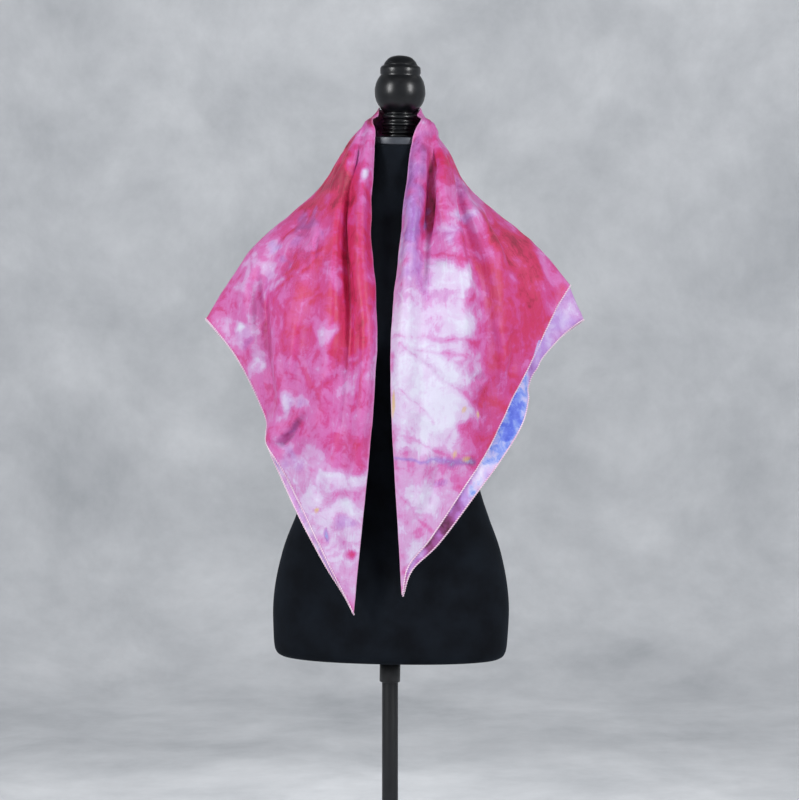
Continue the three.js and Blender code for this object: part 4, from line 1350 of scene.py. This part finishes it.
def red_depth(tree, red, fields, lines):
    """The red dye's depth: its pools with ragged fronts, stains, tide lines, grain and pressed lines."""
    depth = red
    for field, amount in (("pools", 0.7), ("blots", 0.32), ("streaks", 0.15)):
        depth = shifted(tree, depth, fields[field], amount)
    depth = add_node(tree, "Math", {"operation": "MULTIPLY_ADD"}, in_0=stained(tree, FOLD_STAINS, fields),
                     in_1=STAIN_DEPTH, in_2=depth).outputs[0]
    turns = add_node(tree, "Math", {"operation": "MULTIPLY"}, in_0=depth, in_1=2 * math.pi / TIDE).outputs[0]
    wave = add_node(tree, "Math", {"operation": "SINE"}, in_0=turns).outputs[0]
    depth = add_node(tree, "Math", {"operation": "MULTIPLY_ADD"}, in_0=wave,
                     in_1=-TIDE_HEIGHT * TIDE / (2 * math.pi), in_2=depth).outputs[0]
    depth = shifted(tree, depth, fields["grain"], GRAIN_DEPTH)
    for (line, where), sign in zip(lines, (1, -1)):
        drawn = add_node(tree, "Math", {"operation": "MULTIPLY"}, in_0=line, in_1=where).outputs[0]
        depth = add_node(tree, "Math", {"operation": "MULTIPLY_ADD"}, in_0=drawn, in_1=sign * LINE_DEPTH,
                         in_2=depth).outputs[0]
    return depth


# %% The colours of the dyes
REDS = [
    (0.00, "#DCD8EB"), (0.12, "#D8CBE5"), (0.25, "#D2AED8"), (0.37, "#CF8AC4"), (0.49, "#CF67AE"),
    (0.60, "#CB4892"), (0.70, "#CA3578"), (0.80, "#C92A60"), (0.90, "#B42050"), (1.0, "#961A40"),
]
VIOLETS = [(0.0, "#C3B2E2"), (0.3, "#B088D2"), (0.5, "#A066B4"), (0.72, "#873A7C"), (0.92, "#541638")]
BLUES = [(0.3, "#B4C6EC"), (0.52, "#88A2E4"), (0.75, "#536AD8"), (0.98, "#3149C4")]
YELLOW_DYE = "#DDBB58"
# The pale pink of the painted highlight along the fold edges.
FOLD_EDGE_HIGHLIGHT = "#DDA6CE"
INNER_FACE_TINT = "#DCCFE6"
VIOLET_COVER = [(0.22, 0.0), (0.45, 0.38), (0.75, 0.9), (1.0, 1.0)]
BLUE_COVER = [(0.22, 0.0), (0.42, 0.6), (0.62, 1.0)]
YELLOW_COVER = [(0.4, 0.0), (0.95, 0.7)]


def dye_color(tree, dye, mark, fields, lines):
    """The silk's colour: reds under violet, blue, yellow, the fold edges' painted highlight and the inner
    face's tint.
    """
    parts = add_node(tree, "SeparateColor", Color=dye.outputs["Color"]).outputs
    depth = red_depth(tree, parts["Red"], fields, lines)
    slate = stained(tree, BLUE_STAINS, fields)

    violet = add_node(tree, "Math", {"operation": "MULTIPLY"}, in_0=slate, in_1=0.95).outputs[0]
    violet = add_node(tree, "Math", {"operation": "MAXIMUM"}, in_0=parts["Green"], in_1=violet).outputs[0]
    violet = shifted(tree, shifted(tree, violet, fields["pools"], 0.6), fields["blots"], 0.35)
    violet = add_node(tree, "ValToRGB", {"stops": VIOLET_COVER}, Fac=violet).outputs["Color"]

    blueness = add_node(tree, "Math", {"operation": "MULTIPLY"}, in_0=slate, in_1=0.2).outputs[0]
    blueness = add_node(tree, "Math", {"operation": "MAXIMUM"}, in_0=parts["Blue"], in_1=blueness).outputs[0]
    blue_depth = shifted(tree, shifted(tree, blueness, fields["pools"], 0.8), fields["blots"], 1.0)
    blue = add_node(tree, "ValToRGB", {"stops": BLUE_COVER}, Fac=blue_depth).outputs["Color"]
    only = add_node(tree, "Math", {"operation": "MULTIPLY", "use_clamp": True}, in_0=blueness, in_1=6)
    blue = add_node(tree, "Math", {"operation": "MULTIPLY"}, in_0=blue, in_1=only.outputs[0]).outputs[0]

    yellow = shifted(tree, dye.outputs["Alpha"], fields["blots"], 0.4)
    yellow = add_node(tree, "ValToRGB", {"stops": YELLOW_COVER}, Fac=yellow).outputs["Color"]
    # The fold edge mark, at 0.4, mixes in the pale pink of the painted highlight.
    fold_edge_highlight = add_node(tree, "Math", {"operation": "MULTIPLY"}, in_0=mark["Red"], in_1=0.4).outputs[0]
    inside = add_node(tree, "Math", {"operation": "MULTIPLY"}, in_0=mark["Green"], in_1=0.18).outputs[0]

    color = add_node(tree, "ValToRGB", {"stops": REDS}, Fac=depth).outputs["Color"]
    violets = add_node(tree, "ValToRGB", {"stops": VIOLETS}, Fac=depth).outputs["Color"]
    blues = add_node(tree, "ValToRGB", {"stops": BLUES}, Fac=blue_depth).outputs["Color"]
    for share, over in (
        (violet, violets),
        (blue, blues),
        (yellow, linear(YELLOW_DYE)),
        (fold_edge_highlight, linear(FOLD_EDGE_HIGHLIGHT)),
        (inside, linear(INNER_FACE_TINT)),
    ):
        mix = add_node(tree, "Mix", {"data_type": "RGBA"}, in_0=share, in_6=color, in_7=over)
        color = mix.outputs[2]
    return color


# %% Dyed silk
def dyed_silk(name):
    """The silk's material: its dye, its soft gloss, and the fine crumples, streaks and weave as bump."""
    material, tree, shader = new_material(name)
    dye = add_node(tree, "VertexColor", {"layer_name": "dye"})
    marks = add_node(tree, "VertexColor", {"layer_name": "marks"})
    mark = add_node(tree, "SeparateColor", Color=marks.outputs["Color"]).outputs
    fields = silk_fields(tree, add_node(tree, "TexCoord").outputs["Object"])
    pressed, here = fold_lines(tree, fields["bent"], 26, 0.022, fields["pressed_zone"], 0.44, 0.6)
    drawn, there = fold_lines(tree, fields["rays"], 17, 0.03, fields["drawn_zone"], 0.46, 0.62)
    color = dye_color(tree, dye, mark, fields, ((pressed, here), (drawn, there)))
    tree.links.new(color, shader.inputs["Base Color"])

    gloss = add_node(tree, "Math", {"operation": "MULTIPLY_ADD"}, in_0=fields["streaks"], in_1=0.16,
                     in_2=0.42)
    tree.links.new(gloss.outputs[0], shader.inputs["Roughness"])
    set_inputs(shader, Sheen_Weight=0.08, Sheen_Roughness=0.4, Sheen_Tint=linear("#FFE9F4"), IOR=1.5)

    half_here = add_node(tree, "Math", {"operation": "MULTIPLY"}, in_0=here, in_1=0.5).outputs[0]
    half_there = add_node(tree, "Math", {"operation": "MULTIPLY"}, in_0=there, in_1=0.5).outputs[0]
    raise_bumps(tree, shader, [
        (fields["crumples"], 1.7, mark["Blue"]),
        (fields["streaks"], 2.0, mark["Blue"]),
        (fields["fine_streaks"], 0.8, mark["Blue"]),
        (pressed, 0.35, half_here),
        (drawn, -0.5, half_there),
        (fields["weave"], 0.12, 0.5),
    ])
    return material


silk = dyed_silk("hand_dyed_silk_habotai")
print("Nodes in the silk's material:", len(silk.node_tree.nodes))


# %% [markdown]
# The hem's roll is the same silk, but stretched over itself it looks paler. The thread is spun polyester,
# nearly white with a little pink. Noise under a millimetre across stands for its twist.

# %% Hem silk and overlock thread
def two_toned(name, size_mm, detail, low, high):
    """A material whose colour wanders between two close tones, each given with its place on the noise."""
    material, tree, shader = new_material(name)
    place = add_node(tree, "TexCoord").outputs["Object"]
    tone = add_node(tree, "TexNoise", Vector=place, Scale=1000 / size_mm, Detail=detail).outputs["Fac"]
    shade = add_node(tree, "ValToRGB", {"stops": [low, high]}, Fac=tone)
    tree.links.new(shade.outputs["Color"], shader.inputs["Base Color"])
    return material, tree, shader, place, tone


def hem_silk():
    tones = ((0.35, "#D9A3C8"), (0.65, "#EBCDE2"))
    material, tree, shader, place, _ = two_toned("rolled_hem_silk", 30, 3, *tones)
    set_inputs(shader, Roughness=0.5, Sheen_Weight=0.2)
    folds = add_node(tree, "TexNoise", Vector=place, Scale=1000 / 1.5, Detail=2).outputs["Fac"]
    raise_bumps(tree, shader, [(folds, 0.3, 0.4)])
    return material


def overlock_thread():
    tones = ((0.3, "#F1D6E6"), (0.7, "#FFFAFD"))
    material, tree, shader, _, twist = two_toned("spun_polyester_thread", 0.8, 2, *tones)
    set_inputs(shader, Roughness=0.6, Sheen_Weight=0.3)
    raise_bumps(tree, shader, [(twist, 0.1, 0.5)])
    return material


# %% [markdown]
# Black velvet jersey drinks light face on and catches it along its edges, because the light then meets the
# tips of the pile. A little sheen over a rough, near-black base gives that. The pile leans in soft patches,
# and two noise bumps, one for the patches and one for the pile itself, break the surface up. The finial is
# hardwood in black lacquer, smooth and half glossy. The plate is enamelled and the stand sprayed, both on
# steel: a coat like that is even, with a slight orange peel.

# %% Velvet, lacquer, enamel and paint
def velvet():
    tones = ((0.35, "#0D1015"), (0.68, "#151A21"))
    material, tree, shader, place, patches = two_toned("black_velvet_jersey", 45, 4, *tones)
    set_inputs(shader, Roughness=0.95, Sheen_Weight=0.10, Sheen_Roughness=0.35,
               Sheen_Tint=linear("#7C8CA3"), Specular_IOR_Level=0.1)
    pile = add_node(tree, "TexNoise", Vector=place, Scale=1000 / 1.2, Detail=3).outputs["Fac"]
    raise_bumps(tree, shader, [(pile, 0.5, 0.5), (patches, 4, 0.25)])
    return material


def painted(name, dark, light, rough, wear_mm, bump_mm, **sockets):
    """A sprayed or dipped coat: two close tones, with the slight orange peel of the coat as bump."""
    material, tree, shader, place, tone = two_toned(name, wear_mm, 4, (0.35, dark), (0.7, light))
    uneven = add_node(tree, "MapRange", Value=tone, in_3=rough - 0.05, in_4=rough + 0.06)
    tree.links.new(uneven.outputs["Result"], shader.inputs["Roughness"])
    set_inputs(shader, **sockets)
    peel = add_node(tree, "TexNoise", Vector=place, Scale=1000 / bump_mm, Detail=2).outputs["Fac"]
    raise_bumps(tree, shader, [(peel, 0.2, 0.12)])
    return material


lacquer = painted("black_lacquered_hardwood", "#07080B", "#0C0E12", 0.30, 20, 3,
                  Specular_IOR_Level=0.5)
enamel = painted("dark_grey_enamel", "#43474E", "#50555C", 0.36, 12, 2, Metallic=0.2)
paint = painted("black_sprayed_steel", "#0A0B0E", "#111317", 0.42, 30, 1.5)


# %% Give each piece its finish
finish_piece(torso_cover, velvet(), "black_velvet", "torso")
finish_piece(finial_turned, lacquer, "black_lacquer", "finial")
finish_piece(neck_plate_disc, enamel, "grey_enamel", "neck_plate")
finish_piece(sleeve_tube, paint, "black_paint", "sleeve")
finish_piece(pole_tube, paint, "black_paint", "pole")
finish_piece(hub_collar, paint, "black_paint", "base_hub")
finish_piece(foot_disc, paint, "black_paint", "base_plate")
finish_piece(scarf_outer, silk, "dyed_silk", "scarf_outer_layer")
finish_piece(scarf_under, silk, "dyed_silk", "scarf_under_layer")
thread_finish = overlock_thread()
hem_finish = hem_silk()
for roll, thread in ((hem_outer, thread_outer), (hem_under, thread_under)):
    finish_piece(roll, hem_finish, "dyed_silk")
    finish_piece(thread, thread_finish, None)

# %% [markdown]
# Each layer of the folded square is a right-angled triangle with two sides of 1.1 m, so half the square's
# area.


# %% [markdown]
# The studio is a pale cove: a round floor that sweeps up into a wall on all sides, so any view has the
# same painted canvas. Two tall soft boxes stand in front, left and right, and leave a soft highlight on
# each side of the finial. One more lights the back of the scarf. Four lamps are turned to the canvas, one
# to each quarter, and a weak even light fills the shadows.

# %% Floor, light and camera
COVE_RADIUS = 5000
COVE_SWEEP = 1400
COVE_HEIGHT = 5200


def pale_cove():
    profile = [[0.2, -1], [2000, -1], [COVE_RADIUS - COVE_SWEEP, -1]]
    centre = COVE_SWEEP - 1
    angles = np.radians(np.linspace(-90, 0, 13))[1:]
    profile += [[COVE_RADIUS - COVE_SWEEP + COVE_SWEEP * math.cos(a), centre + COVE_SWEEP * math.sin(a)]
                for a in angles]
    profile += [[COVE_RADIUS, COVE_HEIGHT]]
    sides = 96
    points = np.concatenate([plain_ring(radius, height, sides) for radius, height in profile])
    index = np.arange(len(points)).reshape(len(profile), sides)
    return mesh_object("cove", points, [face[::-1] for face in ring_quads(index)])


def cove_canvas():
    material, tree, shader = new_material("hand_painted_canvas_backdrop")
    place = add_node(tree, "TexCoord").outputs["Object"]
    tone = add_node(tree, "TexNoise", Vector=place, Scale=1.6, Detail=9, Roughness=0.66,
                    Distortion=0.15).outputs["Fac"]
    shade = add_node(tree, "ValToRGB", {"stops": [(0.3, "#ADB0B4"), (0.72, "#D3D5D8")]}, Fac=tone)
    tree.links.new(shade.outputs["Color"], shader.inputs["Base Color"])
    set_inputs(shader, Roughness=0.9, Specular_IOR_Level=0.1)
    return material


cove = pale_cove()
cove.data.materials.append(cove_canvas())


def soft_box(name, azimuth_deg, distance, height, width, tall, watts, aim_height):
    """A rectangular light at a bearing from the object, aimed at its axis."""
    lamp = bpy.data.lights.new(name, "AREA")
    lamp.shape = "RECTANGLE"
    lamp.size = width
    lamp.size_y = tall
    lamp.energy = watts
    holder = bpy.data.objects.new(name, lamp)
    turn = math.radians(azimuth_deg)
    holder.location = (math.sin(turn) * distance, -math.cos(turn) * distance, height)
    toward = Vector((0, 0, aim_height)) - holder.location
    holder.rotation_euler = toward.to_track_quat("-Z", "Y").to_euler()
    bpy.context.scene.collection.objects.link(holder)
    return holder


soft_box("soft_box_left", -47, 2.3, 1.9, 0.5, 1.2, 31, 1.25)
soft_box("soft_box_right", 47, 2.3, 1.9, 0.5, 1.2, 31, 1.25)
soft_box("soft_box_back", 180, 2.6, 1.5, 1.0, 1.2, 17, 1.1)
for number, bearing in enumerate((0, 90, 180, 270)):
    lamp = soft_box(f"backdrop_lamp_{number}", bearing, 2.0, 3.6, 2.4, 0.4, 64, 1.0)
    aim = Vector((math.sin(math.radians(bearing)) * 4.6, -math.cos(math.radians(bearing)) * 4.6, 1.0))
    lamp.rotation_euler = (aim - lamp.location).to_track_quat("-Z", "Y").to_euler()

world = bpy.data.worlds.new("studio")
world.use_nodes = True
world.node_tree.nodes["Background"].inputs["Color"].default_value = linear("#DADDE2")
world.node_tree.nodes["Background"].inputs["Strength"].default_value = 0.2
bpy.context.scene.world = world
bpy.context.scene.view_settings.view_transform = "Standard"

CAMERA_LENS_MM = 78.4
CAMERA_DISTANCE = 2.5
CAMERA_HEIGHT = 1.066
CAMERA_SIDE = 0.0136
camera_data = bpy.data.cameras.new("camera")
camera_data.lens = CAMERA_LENS_MM
camera_data.sensor_width = 36
camera = bpy.data.objects.new("camera", camera_data)
camera.location = (CAMERA_SIDE, -CAMERA_DISTANCE, CAMERA_HEIGHT)
camera.rotation_euler = (math.radians(90), 0, 0)
bpy.context.scene.collection.objects.link(camera)
bpy.context.scene.camera = camera
print("Camera to the form's axis in metres:", CAMERA_DISTANCE)
